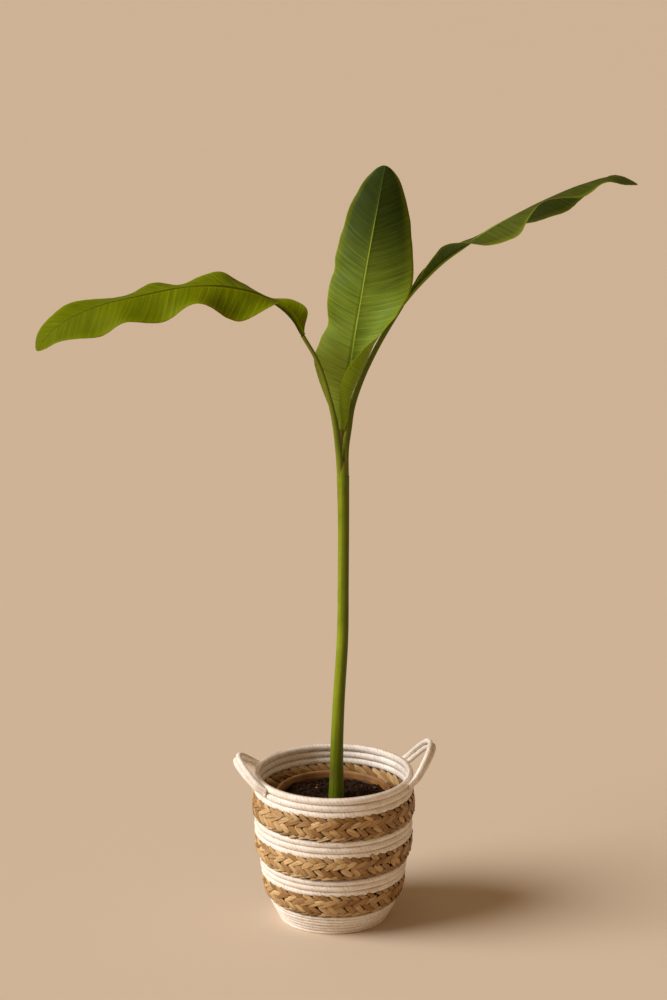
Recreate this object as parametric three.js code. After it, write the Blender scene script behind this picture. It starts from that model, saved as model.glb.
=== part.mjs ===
// A young banana plant in its nursery pot, standing in a basket coiled from cotton
// rope and plaited seagrass. Millimetres, +Z up. The origin is the centre of the
// basket's flat underside. The handles lie towards -X and +X, and the plant's front,
// which the middle leaf faces, is towards -Y.

import * as THREE from 'three';

// ---------------------------------------------------------------- driving dimensions

const CLEARANCE = 0.3;            // air left between two pieces that touch
const ROUND_STEPS = 36;           // facets round the basket and the pot
const LINE_STEP = 1e-3;           // share of a line over which its direction is taken

// Basket: outer radius of the wall at each seam between two bands, from the floor up.
const SEAMS = [
  { height: 0, radius: 102 },
  { height: 42, radius: 121.7 },
  { height: 86.5, radius: 134.7 },
  { height: 123, radius: 140.6 },
  { height: 166.5, radius: 148 },
  { height: 205, radius: 149.6 },
  { height: 249, radius: 150.2 },
  { height: 290, radius: 150 },
];
const WALL = 12;                  // thickness of the basket's wall
const BASE_THICKNESS = 9;         // coiled rope disc under the pot
const BRAID_BULGE = 1.2;          // how far a plait's middle stands out of its edges
const BRAID_STOPS = [0, 0.12, 0.5, 0.88, 1];     // shares of a plait's height with a corner
const ROW_ARC = THREE.MathUtils.degToRad(52);   // half arc of a rope row that shows
const FEW_ROWS = 4;               // bands with more rows than this have fine, flat ones

// Bands of the wall: rope bands have rows of rope, braid bands are one flat plait.
const BANDS = [
  { name: 'rope_band_foot', rows: 6 },
  { name: 'braid_band_low', rows: 0 },
  { name: 'rope_band_low', rows: 3 },
  { name: 'braid_band_mid', rows: 0 },
  { name: 'rope_band_mid', rows: 3 },
  { name: 'braid_band_top', rows: 0 },
  { name: 'rope_band_rim', rows: 3 },
];

// Handles: straps of two ropes side by side, sewn outside the rim at both ends.
const STRAP_ROPE = 4.9;           // radius of each rope in a strap
const STRAP_SPACING = 5;          // from the strap's middle to each rope's middle
const STRAP_END = 0.35;           // thickness left where an end is sewn down
const STRAP_FOOT_HEIGHT = 276;    // middle of the strap where it lies on the rim
const STRAP_WRAP = 118;           // degrees each rope's outline turns from its outermost point
const STRAP_RISE = 1.15;          // power of the loop's rise: more than 1 eases its ends in
const STRAP_SEWN = 0.3;           // share of the rise by which the ropes reach full thickness
const HANDLE_STEPS = 22;
const HANDLES = [
  { name: 'handle_left', from: 157, to: 214, out: 26, up: 42, lean: 33 },
  { name: 'handle_right', from: 31, to: -21, out: 30, up: 60, lean: 38 },
];

// Nursery pot and the soil in it.
const POT = {
  footRadius: 82, bodyRadius: 105.5, lipRadius: 108.5, lipDepth: 9, top: 249, wall: 2.6, floor: 3,
};
const SOIL = {
  depthBelowLip: 13.5, flatRadius: 25, lump: 2.6, sectors: 26, ringRadii: [84, 65, 45],
};
// Waves that make the soil's lumps: radians a millimetre in x and y, start and strength.
const SOIL_WAVES = [
  { x: 0.13, y: 0.17, start: 1.1, strength: 0.5 },
  { x: 0.13, y: -0.17, start: 0.7, strength: 0.5 },
  { x: 0.31, y: -0.27, start: 0, strength: 0.45 },
];

// Pseudostem: centre line and radius, from the soil to the fork.
const STEM = [
  { at: [5, 0, 0], radius: 14.9 },
  { at: [5.6, 0, 38], radius: 13.4 },
  { at: [6.2, 0, 95], radius: 12.2 },
  { at: [10, 0, 195], radius: 11.4 },
  { at: [16.6, 0, 314], radius: 10.8 },
  { at: [18, 0, 440], radius: 10.5 },
  { at: [18.3, 0, 548], radius: 10.5 },
  { at: [17.5, 0, 630], radius: 11.3 },
];
const FORK_HEIGHT = 866;          // top of the pseudostem, where the petioles part
const STEM_SIDES = 16;
const STEM_STEPS = 15;
const STEM_CROWDING = 1.15;       // more than 1 draws the rings together near the soil
const SHEATH_RADIUS = 10.7;       // the three petiole bases share a circle this wide
const SHEATH_ARC_STEPS = 10;
const SHEATH_PARTING = 0.8;       // of the clearance, by which each slice leaves the middle

// Petioles: the slice of that circle each starts from, its width, its depth low down and at
// its end, and its centre line after the fork, up to the blade that it carries.
const PETIOLES = [
  {
    name: 'petiole_left', blade: 'blade_left', slice: [150, 290], width: 10.4, depths: [13.6, 10.4],
    channelTowards: [0.6, 0, 1],
    line: [[9.2, -6.2, 924], [6.4, -8.6, 955], [-5.2, -14, 1018], [-31, -22, 1100]],
  },
  {
    name: 'petiole_right', blade: 'blade_right', slice: [-70, 60], width: 12, depths: [14.4, 12],
    channelTowards: [-0.6, 0, 1],
    line: [[22.8, 5.4, 924], [26.6, 13.4, 955], [32, 20, 992], [48.5, 29, 1042], [75, 38, 1098]],
  },
  {
    name: 'petiole_centre', blade: 'blade_centre', slice: [60, 150], width: 7, depths: [7, 7],
    channelTowards: [0, -1, 0],
    line: [[13.4, 11.2, 924]],
  },
];
const PETIOLE_SIDES = 10;
const PETIOLE_STEPS = 14;
const SHEATH_SHARE = 0.3;         // share of a petiole over which its base rounds off
const DEPTH_EASE = [0.3, 0.9];    // shares between which the depth eases to its end value
// Upper side: share of the half depth, dip, and the shares between which the channel opens.
const CHANNEL = { level: 0.62, dip: 0.22, opens: [0.1, 0.6] };

// Blades. `rib` is the midrib's line from the petiole to the tip, and `faces` is where
// the upper side looks. The halves right and left of the rib, seen from above with the
// tip ahead, are keyed along it from 0 at the base to 1 at the tip: how far along, half
// width before the tip's rounding, and the angles in degrees by which the half is raised
// above the blade's level at the rib and at the edge.
const BLADES = [
  {
    name: 'blade_left', faces: [0, 0, 1], tipPower: 0.58, cells: 5,
    rib: [
      [-55, -27, 1144], [-89, -34, 1194], [-120, -40, 1217], [-190, -52, 1240], [-265, -64, 1242],
      [-350, -78, 1229], [-440, -92, 1207], [-502, -100, 1172], [-533, -104, 1135],
    ],
    right: [
      [0, 6, 40, 40], [0.05, 34, 62, 68], [0.09, 42, 34, 30], [0.13, 47, 4, 0],
      [0.18, 58, -8, -8], [0.26, 66, 0, 0], [0.33, 70, 7, 12], [0.38, 70, 2, 4],
      [0.45, 70, -8, -10], [0.57, 70, -2, 1], [0.65, 70, -8, -12], [0.75, 74, -4, -2],
      [0.83, 76, 8, 15], [0.89, 76, 16, 20], [0.95, 82, 24, 28], [1, 84, 25, 25],
    ],
    left: [
      [0, 6, 40, 40], [0.07, 11, 55, 55], [0.13, 17, 30, 30], [0.18, 42, -14, -16],
      [0.26, 70, -36, -50], [0.32, 71, -34, -46], [0.425, 66, -11, -12], [0.56, 70, -33, -43],
      [0.68, 72, -22, -25], [0.79, 82, -34, -42], [0.87, 76, -28, -32], [0.95, 74, -20, -20],
      [1, 74, -14, -14],
    ],
  },
  {
    name: 'blade_right', faces: [0, 0, 1], tipPower: 0.7, cells: 5,
    rib: [
      [124, 54, 1180], [153, 60, 1212], [200, 66, 1257], [245, 70, 1290], [284, 73, 1317],
      [323, 77, 1339], [381, 83, 1367], [459, 92, 1398], [507, 97, 1408], [555, 103, 1393],
    ],
    right: [
      [0, 6, 30, 30], [0.06, 13, 50, 50], [0.14, 18, 48, 48], [0.2, 32, 50, 50],
      [0.25, 49, 44, 44], [0.31, 55, 24, 28], [0.38, 62, -6, -8], [0.45, 66, -12, -16],
      [0.51, 68, -12, -18], [0.56, 66, 0, 0], [0.62, 66, 12, 16], [0.7, 66, 4, 4],
      [0.8, 70, -6, -10], [0.87, 76, 0, 0], [0.94, 76, -8, -8], [1, 76, -8, -8],
    ],
    left: [
      [0, 6, 30, 30], [0.1, 20, 15, 15], [0.2, 36, 5, 5], [0.35, 58, -8, -12],
      [0.5, 68, -25, -30], [0.62, 70, -40, -48], [0.72, 72, -44, -54], [0.82, 74, -32, -38],
      [0.9, 75, -9, -12], [0.95, 77, 3, 4], [1, 78, 6, 8],
    ],
  },
  {
    name: 'blade_centre', faces: [0, -1, 0], tipPower: 0.58, cells: 6,
    rib: [
      [15, 10.6, 956], [20, 13.4, 1015], [29, 19, 1075], [54, 42, 1223], [76, 69, 1340], [94, 92, 1431],
    ],
    right: [
      [0, 6, 10, 60], [0.07, 27, 15, 200], [0.14, 42, 15, 215], [0.22, 66, 12, 200],
      [0.29, 74, 10, 155], [0.36, 80, 8, 112], [0.43, 83, 8, 74], [0.49, 81, 9, 34],
      [0.54, 87, 7, 8], [0.6, 91, 4, -4], [0.7, 89, 0, -12], [0.8, 88, -3, -18], [1, 90, -5, -20],
    ],
    left: [
      [0, 6, 0, 0], [0.06, 21, -10, 0], [0.12, 38, -10, -10], [0.18, 54, -10, -10],
      [0.24, 66, -10, -10], [0.31, 67, -16, -40], [0.39, 61, -20, -48], [0.47, 62, -10, -28],
      [0.58, 66, -20, -40], [0.75, 72, -15, -40], [1, 74, -10, -20],
    ],
  },
];
const BLADE_STEPS = 30;           // sections along a blade
const BLADE_THICKNESS = 0.0105;   // of the blade's length
const TIP_START = 0.5;            // share of the rib after which the outline rounds in
const TIP_CUT = 0.9994;           // the last section stands just short of the tip
const RIB_SHARE = 0.08;           // of a half's width that the midrib takes
const RIB_DEPTH = { base: 4.2, tip: 0.4 };    // how far the midrib stands out below
const SECTION_STEPS = 28;         // steps that add up a half's curved section
const TIP_CROWDING = 0.35;        // how far the sections draw together towards the tip
const LEAST_MITRE = 0.6;          // smallest cosine that thickens the skin at the rib

const FINISHES = {
  rope: { color: 0xe9dcc6, roughness: 0.9 },
  seagrass: { color: 0xb98a4e, roughness: 0.75 },
  pot: { color: 0xa9794c, roughness: 0.55 },
  soil: { color: 0x2a1d15, roughness: 1.0 },
  stem: { color: 0x6f7d1c, roughness: 0.45 },
  petiole: { color: 0x6c8420, roughness: 0.45 },
  blade: { color: 0x53731a, roughness: 0.5 },
};

// ---------------------------------------------------------------- shared geometry

const plant = new THREE.Group();

/** Adds one named piece to the plant. */
function addPiece(name, finish, geometry) {
  const material = new THREE.MeshStandardMaterial({ ...FINISHES[finish], metalness: 0 });
  const mesh = new THREE.Mesh(geometry, material);
  mesh.name = name;
  plant.add(mesh);
}

/** Closed body from corner points and triangles, with its faces turned outwards. */
function closedBody(corners, triangles) {
  let volume = 0;
  const cross = new THREE.Vector3();
  for (const [a, b, c] of triangles) {
    volume += corners[a].dot(cross.crossVectors(corners[b], corners[c]));
  }
  const faces = volume < 0 ? triangles.map(([a, b, c]) => [a, c, b]) : triangles;
  const geometry = new THREE.BufferGeometry().setFromPoints(corners);
  geometry.setIndex(faces.flat());
  geometry.computeVertexNormals();
  return geometry;
}

/** Skin through equal rings of points. Each end is closed by the given cap. */
function loft(rings, capEnd) {
  const count = rings[0].length;
  const triangles = [];
  for (let ring = 0; ring + 1 < rings.length; ring += 1) {
    for (let i = 0; i < count; i += 1) {
      const a = ring * count + i;
      const b = ring * count + (i + 1) % count;
      triangles.push([a, b, b + count], [a, b + count, a + count]);
    }
  }
  const last = (rings.length - 1) * count;
  for (const [a, b, c] of capEnd(count)) {
    triangles.push([a, c, b], [a + last, b + last, c + last]);
  }
  return closedBody(rings.flat(), triangles);
}

/** Cap for a rounded ring: triangles from its first point. */
function fanCap(count) {
  return Array.from({ length: count - 2 }, (_, i) => [0, i + 1, i + 2]);
}

/** Cap for a thin ring that runs out along one side and back along the other. */
function stripCap(count) {
  const triangles = [];
  for (let i = 0; i + 1 < count / 2; i += 1) {
    const back = count - 1 - i;
    triangles.push([i, i + 1, back - 1], [i, back - 1, back]);
  }
  return triangles;
}

/** Body of revolution about Z from a closed outline of [radius, height] pairs. */
function revolved(outline) {
  const closes = outline[0][0] > 0;
  const profile = (closes ? [...outline, outline[0]] : outline)
    .map(([radius, height]) => new THREE.Vector2(radius, height));
  const turning = outline.reduce((sum, [radius, height], i) => {
    const [nextRadius, nextHeight] = outline[(i + 1) % outline.length];
    return sum + radius * nextHeight - nextRadius * height;
  }, 0);
  if (turning < 0) profile.reverse();
  return new THREE.LatheGeometry(profile, ROUND_STEPS).rotateX(Math.PI / 2);
}

/** Smooth curve through keyed values: cubic pieces with slopes shared at the keys. */
function smoothThrough(stops, values) {
  const rises = stops.slice(1).map((stop, i) => (values[i + 1] - values[i]) / (stop - stops[i]));
  const slopes = stops.map((stop, i) => {
    if (i === 0) return rises[0];
    if (i === stops.length - 1) return rises[i - 1];
    const before = stop - stops[i - 1];
    const after = stops[i + 1] - stop;
    return (after * rises[i - 1] + before * rises[i]) / (before + after);
  });
  return (at) => {
    let i = 0;
    while (i < stops.length - 2 && at > stops[i + 1]) i += 1;
    const span = stops[i + 1] - stops[i];
    const x = (at - stops[i]) / span;
    const ease = x * x * (3 - 2 * x);
    const swing = x * (1 - x) * span;
    return values[i] + (values[i + 1] - values[i]) * ease
      + swing * ((1 - x) * slopes[i] - x * slopes[i + 1]);
  };
}

/** Smooth line through points: its length, and its place at a share of that length. */
function lineThrough(points) {
  const corners = points.map((point) => new THREE.Vector3(...point));
  const stops = [0];
  corners.slice(1).forEach((corner, i) => stops.push(stops[i] + corner.distanceTo(corners[i])));
  const length = stops[stops.length - 1];
  const axes = ['x', 'y', 'z']
    .map((axis) => smoothThrough(stops, corners.map((corner) => corner[axis])));
  return { length, at: (share) => new THREE.Vector3(...axes.map((axis) => axis(share * length))) };
}

/** Direction of a line, the level of its upper side and the side to its right. */
function frameOn(line, share, faces) {
  const ahead = line.at(Math.min(share + LINE_STEP, 1));
  const along = ahead.sub(line.at(Math.max(share - LINE_STEP, 0))).normalize();
  const up = new THREE.Vector3(...faces);
  up.addScaledVector(along, -up.dot(along)).normalize();
  return { along, up, side: along.clone().cross(up) };
}

/** The point that lies right and up of an origin, in a line's own frame. */
function offsetPoint(origin, side, right, up, high) {
  return origin.clone().addScaledVector(side, right).addScaledVector(up, high);
}

function inverseLerp(low, high, value) {
  return THREE.MathUtils.clamp((value - low) / (high - low), 0, 1);
}

// ---------------------------------------------------------------- basket

const seamRadius = smoothThrough(SEAMS.map((seam) => seam.height), SEAMS.map((seam) => seam.radius));

/** Rows of rope seen in section: bulging arcs from one height to another. */
function ropeRows(bottom, top, rows, outside) {
  const radius = (top - bottom) / rows / 2;
  const points = [];
  for (let row = 0; row < rows; row += 1) {
    const height = bottom + (2 * row + 1) * radius;
    const middle = seamRadius(height) - (outside ? radius : WALL - radius);
    for (const turn of rows > FEW_ROWS ? [-ROW_ARC, ROW_ARC] : [-ROW_ARC, 0, ROW_ARC]) {
      const reach = radius * Math.cos(turn);
      points.push([middle + (outside ? reach : -reach), height + radius * Math.sin(turn)]);
    }
  }
  return points;
}

/** One flat plait seen in section: its outer face bulges between its two edges. */
function braidFace(bottom, top) {
  return BRAID_STOPS.map((share) => {
    const height = THREE.MathUtils.lerp(bottom, top, share);
    return [seamRadius(height) - BRAID_BULGE * (2 * share - 1) ** 2, height];
  });
}

function addBand(band, index) {
  const bottom = SEAMS[index].height + (index === 0 ? 0 : CLEARANCE / 2);
  const isRim = index === BANDS.length - 1;
  const top = SEAMS[index + 1].height - (isRim ? 0 : CLEARANCE / 2);
  const outside = band.rows > 0 ? ropeRows(bottom, top, band.rows, true) : braidFace(bottom, top);
  const plainInside = [[seamRadius(top) - WALL, top], [seamRadius(bottom) - WALL, bottom]];
  const inside = isRim ? ropeRows(bottom, top, band.rows, false).reverse() : plainInside;
  const underside = [seamRadius(bottom) - WALL / 2, bottom];
  const topside = [seamRadius(top) - WALL / 2, top];
  const finish = band.rows > 0 ? 'rope' : 'seagrass';
  addPiece(band.name, finish, revolved([underside, ...outside, topside, ...inside]));
}

function addBasketBase() {
  const radius = SEAMS[0].radius - WALL - CLEARANCE;
  addPiece('basket_base', 'rope', revolved([
    [0, 0], [radius, 0], [radius, BASE_THICKNESS], [0, BASE_THICKNESS],
  ]));
}

/** Outline of two ropes side by side, flattened where the strap is sewn down. */
function strapSection(thickness) {
  const points = [];
  for (const rope of [-1, 1]) {
    for (const turn of [-1, -0.5, 0, 0.5, 1]) {
      const angle = rope * Math.PI / 2 + turn * THREE.MathUtils.degToRad(STRAP_WRAP);
      points.push({
        out: Math.cos(angle) * STRAP_ROPE * thickness,
        high: rope * STRAP_SPACING + Math.sin(angle) * STRAP_ROPE,
      });
    }
  }
  return points;
}

/** A loop that leaves the rim along its outside, rises and leans out, and comes back. */
function addHandle({ name, from, to, out, up, lean }) {
  const footRadius = seamRadius(STRAP_FOOT_HEIGHT) + CLEARANCE;
  const place = (share) => {
    const angle = THREE.MathUtils.degToRad(THREE.MathUtils.lerp(from, to, share));
    const lift = Math.sin(Math.PI * THREE.MathUtils.clamp(share, 0, 1)) ** STRAP_RISE;
    const thickness = STRAP_END + (1 - STRAP_END) * THREE.MathUtils.smoothstep(lift, 0, STRAP_SEWN);
    const radius = footRadius + STRAP_ROPE * thickness + out * lift;
    const radial = new THREE.Vector3(Math.cos(angle), Math.sin(angle), 0);
    const centre = radial.clone().multiplyScalar(radius).setZ(STRAP_FOOT_HEIGHT + up * lift);
    return { centre, radial, thickness, lift };
  };
  const rings = Array.from({ length: HANDLE_STEPS + 1 }, (_, i) => {
    const share = i / HANDLE_STEPS;
    const { centre, radial, thickness, lift } = place(share);
    const along = place(share + LINE_STEP).centre.sub(place(share - LINE_STEP).centre).normalize();
    const outward = radial.addScaledVector(along, -radial.dot(along)).normalize();
    const upward = outward.clone().cross(along);
    if (upward.z < 0) upward.negate();
    const tilt = THREE.MathUtils.degToRad(lean) * lift;
    const high = upward.clone().applyAxisAngle(along, tilt);
    if (high.dot(outward) > 0) high.copy(upward).applyAxisAngle(along, -tilt);
    const face = along.clone().cross(high);
    if (face.dot(outward) < 0) face.negate();
    return strapSection(thickness).map((point) => offsetPoint(centre, face, point.out, high, point.high));
  });
  addPiece(name, 'rope', loft(rings, fanCap));
}

// ---------------------------------------------------------------- pot and soil

function addPot() {
  const bottom = BASE_THICKNESS + CLEARANCE;
  const lipBottom = POT.top - POT.lipDepth;
  addPiece('nursery_pot', 'pot', revolved([
    [0, bottom], [POT.footRadius, bottom], [POT.bodyRadius, lipBottom],
    [POT.lipRadius, lipBottom + POT.wall / 2],
    [POT.lipRadius, POT.top], [POT.lipRadius - 2 * POT.wall, POT.top],
    [POT.bodyRadius - POT.wall, lipBottom], [POT.footRadius - POT.wall, bottom + POT.floor],
    [0, bottom + POT.floor],
  ]));
}

const soilTop = POT.top - SOIL.depthBelowLip;

/** Soil that fills the pot: level round the stem, with low lumps further out. */
function addSoil() {
  const floor = BASE_THICKNESS + 2 * CLEARANCE + POT.floor;
  const foot = POT.footRadius - POT.wall - CLEARANCE;
  const slope = (POT.bodyRadius - POT.footRadius) / (POT.top - POT.lipDepth - BASE_THICKNESS);
  const edgeHeight = soilTop - SOIL.lump;
  const edge = foot + slope * (edgeHeight - floor);
  const lumps = (x, y) => SOIL_WAVES.reduce((sum, wave) => (
    sum + wave.strength * Math.sin(x * wave.x + y * wave.y + wave.start)), 0);
  const ring = (radius, heightAt) => Array.from({ length: SOIL.sectors }, (_, i) => {
    const turn = 2 * Math.PI * i / SOIL.sectors;
    const [x, y] = [radius * Math.cos(turn), radius * Math.sin(turn)];
    return new THREE.Vector3(x, y, heightAt(x, y));
  });
  addPiece('soil', 'soil', loft([
    ring(foot, () => floor),
    ring(edge, () => edgeHeight),
    ...SOIL.ringRadii.map((radius) => ring(radius, (x, y) => soilTop + SOIL.lump * lumps(x, y))),
    ring(SOIL.flatRadius, () => soilTop),
  ], fanCap));
}

// ---------------------------------------------------------------- stem and petioles

/** Pseudostem: rings of its own taper and lean, level at the soil and at the fork. */
function addStem() {
  const bottom = soilTop + CLEARANCE;
  const stops = STEM.map((station) => station.at[2]);
  const [x, y, radius] = [
    STEM.map((station) => station.at[0]), STEM.map((station) => station.at[1]),
    STEM.map((station) => station.radius),
  ].map((values) => smoothThrough(stops, values));
  const rings = Array.from({ length: STEM_STEPS + 1 }, (_, i) => {
    const rise = stops.at(-1) * (i / STEM_STEPS) ** STEM_CROWDING;
    const height = THREE.MathUtils.mapLinear(rise, 0, stops.at(-1), bottom, FORK_HEIGHT);
    return Array.from({ length: STEM_SIDES }, (_, k) => {
      const turn = 2 * Math.PI * k / STEM_SIDES;
      return new THREE.Vector3(
        x(rise) + radius(rise) * Math.cos(turn), y(rise) + radius(rise) * Math.sin(turn), height);
    });
  });
  addPiece('pseudostem', 'stem', loft(rings, fanCap));
}

/** How far a ray from inside a convex outline runs before it leaves it. */
function reachInside(outline, origin, direction) {
  let reach = Infinity;
  outline.forEach((start, i) => {
    const edge = outline[(i + 1) % outline.length].clone().sub(start);
    const facing = direction.x * edge.y - direction.y * edge.x;
    const gap = (start.x - origin.x) * edge.y - (start.y - origin.y) * edge.x;
    if (Math.abs(facing) > 1e-9 && gap / facing > 0) reach = Math.min(reach, gap / facing);
  });
  return reach;
}

/** A slice of the fork's circle: its outline, moved out a little, and its centroid. */
function sheathSlice([from, to]) {
  const [start, end] = [from, to].map(THREE.MathUtils.degToRad);
  const half = (end - start) / 2;
  const middle = new THREE.Vector2(Math.cos((start + end) / 2), Math.sin((start + end) / 2));
  const [forkX, forkY] = STEM.at(-1).at;
  const apex = new THREE.Vector2(forkX, forkY).addScaledVector(middle, CLEARANCE * SHEATH_PARTING);
  const outline = [apex];
  for (let i = 0; i <= SHEATH_ARC_STEPS; i += 1) {
    const angle = start + (end - start) * i / SHEATH_ARC_STEPS;
    const ray = new THREE.Vector2(Math.cos(angle), Math.sin(angle));
    outline.push(apex.clone().addScaledVector(ray, SHEATH_RADIUS));
  }
  const reach = 2 * SHEATH_RADIUS * Math.sin(half) / (3 * half);
  return { outline, centroid: apex.clone().addScaledVector(middle, reach) };
}

/** A petiole: a slice of the sheath at the fork that rounds off into a channelled stalk. */
function addPetiole({ name, blade, slice, width, depths, channelTowards, line }) {
  const { outline, centroid } = sheathSlice(slice);
  const foot = [centroid.x, centroid.y, FORK_HEIGHT + CLEARANCE];
  const carried = BLADES.find((each) => each.name === blade);
  const seat = frameOn(lineThrough(carried.rib), 0, carried.faces);
  const end = new THREE.Vector3(...carried.rib[0]).addScaledVector(seat.along, -CLEARANCE);
  const centreLine = lineThrough([foot, ...line, end.toArray()]);
  const rings = Array.from({ length: PETIOLE_STEPS + 1 }, (_, i) => {
    const share = i / PETIOLE_STEPS;
    const origin = centreLine.at(share);
    const { side, up } = i === PETIOLE_STEPS ? seat : frameOn(centreLine, share, channelTowards);
    if (i === 0) {
      up.setZ(0).normalize();
      side.set(-up.y, up.x, 0);
    }
    const rounding = THREE.MathUtils.smoothstep(share, 0, SHEATH_SHARE);
    const depth = THREE.MathUtils.lerp(...depths, THREE.MathUtils.smoothstep(share, ...DEPTH_EASE));
    const open = THREE.MathUtils.smoothstep(share, ...CHANNEL.opens);
    return Array.from({ length: PETIOLE_SIDES }, (_, k) => {
      const angle = 2 * Math.PI * k / PETIOLE_SIDES;
      const sunk = Math.sin(angle) > 0 ? 1 - CHANNEL.level + CHANNEL.dip * Math.sin(angle) ** 3 : 0;
      const channel = 1 - open * sunk;
      const round = new THREE.Vector2(Math.cos(angle) * width, Math.sin(angle) * channel * depth)
        .multiplyScalar(0.5);
      const flat = offsetPoint(new THREE.Vector3(), side, Math.cos(angle), up, Math.sin(angle));
      const ray = new THREE.Vector2(flat.x, flat.y).normalize();
      const reach = reachInside(outline, centroid, ray);
      const sheath = new THREE.Vector2(Math.cos(angle), Math.sin(angle)).multiplyScalar(reach);
      const point = sheath.lerp(round, rounding);
      return offsetPoint(origin, side, point.x, up, point.y);
    });
  });
  addPiece(name, 'petiole', loft(rings, fanCap));
}

// ---------------------------------------------------------------- blades

/** Places across one half of a blade, from the rib to the edge, with its directions. */
function halfSection(keys, share, stops, tipPower) {
  const [width, root, edge] = [1, 2, 3].map((column) => (
    smoothThrough(keys.map((key) => key[0]), keys.map((key) => key[column]))(share)));
  const pastMiddle = inverseLerp(TIP_START, 1, share);
  const fullWidth = width * (1 - pastMiddle ** 2) ** tipPower;
  const section = [{ across: 0, high: 0, angle: THREE.MathUtils.degToRad(root) }];
  let [across, high, next] = [0, 0, 1];
  for (let i = 0; i < SECTION_STEPS; i += 1) {
    const ease = THREE.MathUtils.smoothstep((i + 0.5) / SECTION_STEPS, 0, 1);
    const angle = THREE.MathUtils.degToRad(root + (edge - root) * ease);
    across += Math.cos(angle) * fullWidth / SECTION_STEPS;
    high += Math.sin(angle) * fullWidth / SECTION_STEPS;
    if ((i + 1) / SECTION_STEPS >= stops[next] - 1e-6) {
      section.push({ across, high, angle });
      next += 1;
    }
  }
  return section;
}

/** A blade: two halves that bend away from the rib, with the midrib's keel below. */
function addBlade({ name, faces, tipPower, cells, rib, right, left }) {
  const midrib = lineThrough(rib);
  const thick = BLADE_THICKNESS * midrib.length;
  const stops = [0, RIB_SHARE, ...Array.from({ length: cells - 1 }, (_, i) => (
    RIB_SHARE + (1 - RIB_SHARE) * (i + 1) / (cells - 1)))];
  const rings = Array.from({ length: BLADE_STEPS + 1 }, (_, i) => {
    const even = i / BLADE_STEPS;
    const share = TIP_CUT * even * (1 + TIP_CROWDING * (1 - even));
    const origin = midrib.at(share);
    const { side, up } = frameOn(midrib, share, faces);
    const keel = THREE.MathUtils.lerp(RIB_DEPTH.base, RIB_DEPTH.tip, share);
    const [rightHalf, leftHalf] = [right, left].map((keys) => halfSection(keys, share, stops, tipPower));
    const rootAngle = (rightHalf[0].angle + leftHalf[0].angle) / 2;
    const mitre = 1 / Math.max(Math.cos(rootAngle), LEAST_MITRE);
    const surface = (level) => {
      const edgeOf = (half, hand) => half.slice(1).map(({ across, high, angle }) => {
        const sideways = hand * (across - Math.sin(angle) * level);
        return offsetPoint(origin, side, sideways, up, high + Math.cos(angle) * level);
      });
      const atRib = offsetPoint(origin, side, 0, up, level * mitre - (level < 0 ? keel : 0));
      return [...edgeOf(leftHalf, -1).reverse(), atRib, ...edgeOf(rightHalf, 1)];
    };
    return [...surface(thick / 2), ...surface(-thick / 2).reverse()];
  });
  addPiece(name, 'blade', loft(rings, stripCap));
}

// ---------------------------------------------------------------- assembly

addBasketBase();
BANDS.forEach(addBand);
HANDLES.forEach(addHandle);
addPot();
addSoil();
addStem();
PETIOLES.forEach(addPetiole);
BLADES.forEach(addBlade);

export default plant;
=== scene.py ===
"""Looks for a young banana plant in its nursery pot and its rope and seagrass basket.

Every piece is worked out in metres, +Z up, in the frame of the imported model: the origin is the
centre of the basket's underside, the handles lie towards -X and +X and the front is towards -Y.
"""

import logging
import math
from dataclasses import dataclass, field
from enum import Enum

import bpy
import numpy as np
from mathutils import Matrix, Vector


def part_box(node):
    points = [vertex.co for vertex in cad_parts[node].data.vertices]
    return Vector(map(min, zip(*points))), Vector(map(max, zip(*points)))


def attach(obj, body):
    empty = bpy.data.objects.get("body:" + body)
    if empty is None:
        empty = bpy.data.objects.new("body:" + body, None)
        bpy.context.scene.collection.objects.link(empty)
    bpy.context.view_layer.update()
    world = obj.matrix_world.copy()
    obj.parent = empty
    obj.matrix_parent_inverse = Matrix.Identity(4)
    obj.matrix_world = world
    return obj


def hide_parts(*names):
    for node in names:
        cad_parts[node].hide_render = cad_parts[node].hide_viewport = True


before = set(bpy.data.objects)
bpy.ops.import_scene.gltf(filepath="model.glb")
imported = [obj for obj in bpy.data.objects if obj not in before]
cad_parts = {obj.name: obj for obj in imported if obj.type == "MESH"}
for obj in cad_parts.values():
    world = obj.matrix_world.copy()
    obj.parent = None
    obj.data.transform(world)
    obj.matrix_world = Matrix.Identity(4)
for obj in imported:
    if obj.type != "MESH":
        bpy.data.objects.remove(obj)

Array = np.ndarray
Colour = tuple[float, float, float, float]
Triple = tuple[float, float, float]
HalfKey = tuple[float, float, float, float]

LOG = logging.getLogger("plant")
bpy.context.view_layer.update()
MM = 0.001
TURN = 2 * math.pi
TINY = 1e-12
CLEARANCE = 0.3 * MM
SHADED_TURN = math.radians(-8)
FLAT_MAP = "flat"


def box_heights(node: str) -> tuple[float, float]:
    """Lowest and highest height of a CAD node, in metres."""
    low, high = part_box(node)
    return low.z, high.z


def srgb(red: int, green: int, blue: int) -> Colour:
    """Linear colour of an everyday 0 to 255 colour.

    Args:
        red, green, blue: the display values.

    Returns:
        Linear red, green and blue, and an alpha of 1.
    """
    shares = np.array([red, green, blue]) / 255.0
    linear = np.where(shares <= 0.04045, shares / 12.92, ((shares + 0.055) / 1.055) ** 2.4)
    return (*(float(part) for part in linear), 1.0)


def smoothstep(low: float, high: float, value: Array) -> Array:
    """Eases from 0 below low to 1 above high: three times the square less twice the cube."""
    share = np.clip((np.asarray(value, float) - low) / (high - low), 0, 1)
    return share * share * (3 - 2 * share)


def bell(off: Array, width: float) -> Array:
    """1 where off is 0, falling to 0 on both sides within about two widths."""
    return np.exp(-(off / width) ** 2)


def signed_power(values: Array, power: float) -> Array:
    """Power of the values' sizes, with their signs: a low power squares off a round section."""
    return np.sign(values) * np.abs(values) ** power


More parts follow.
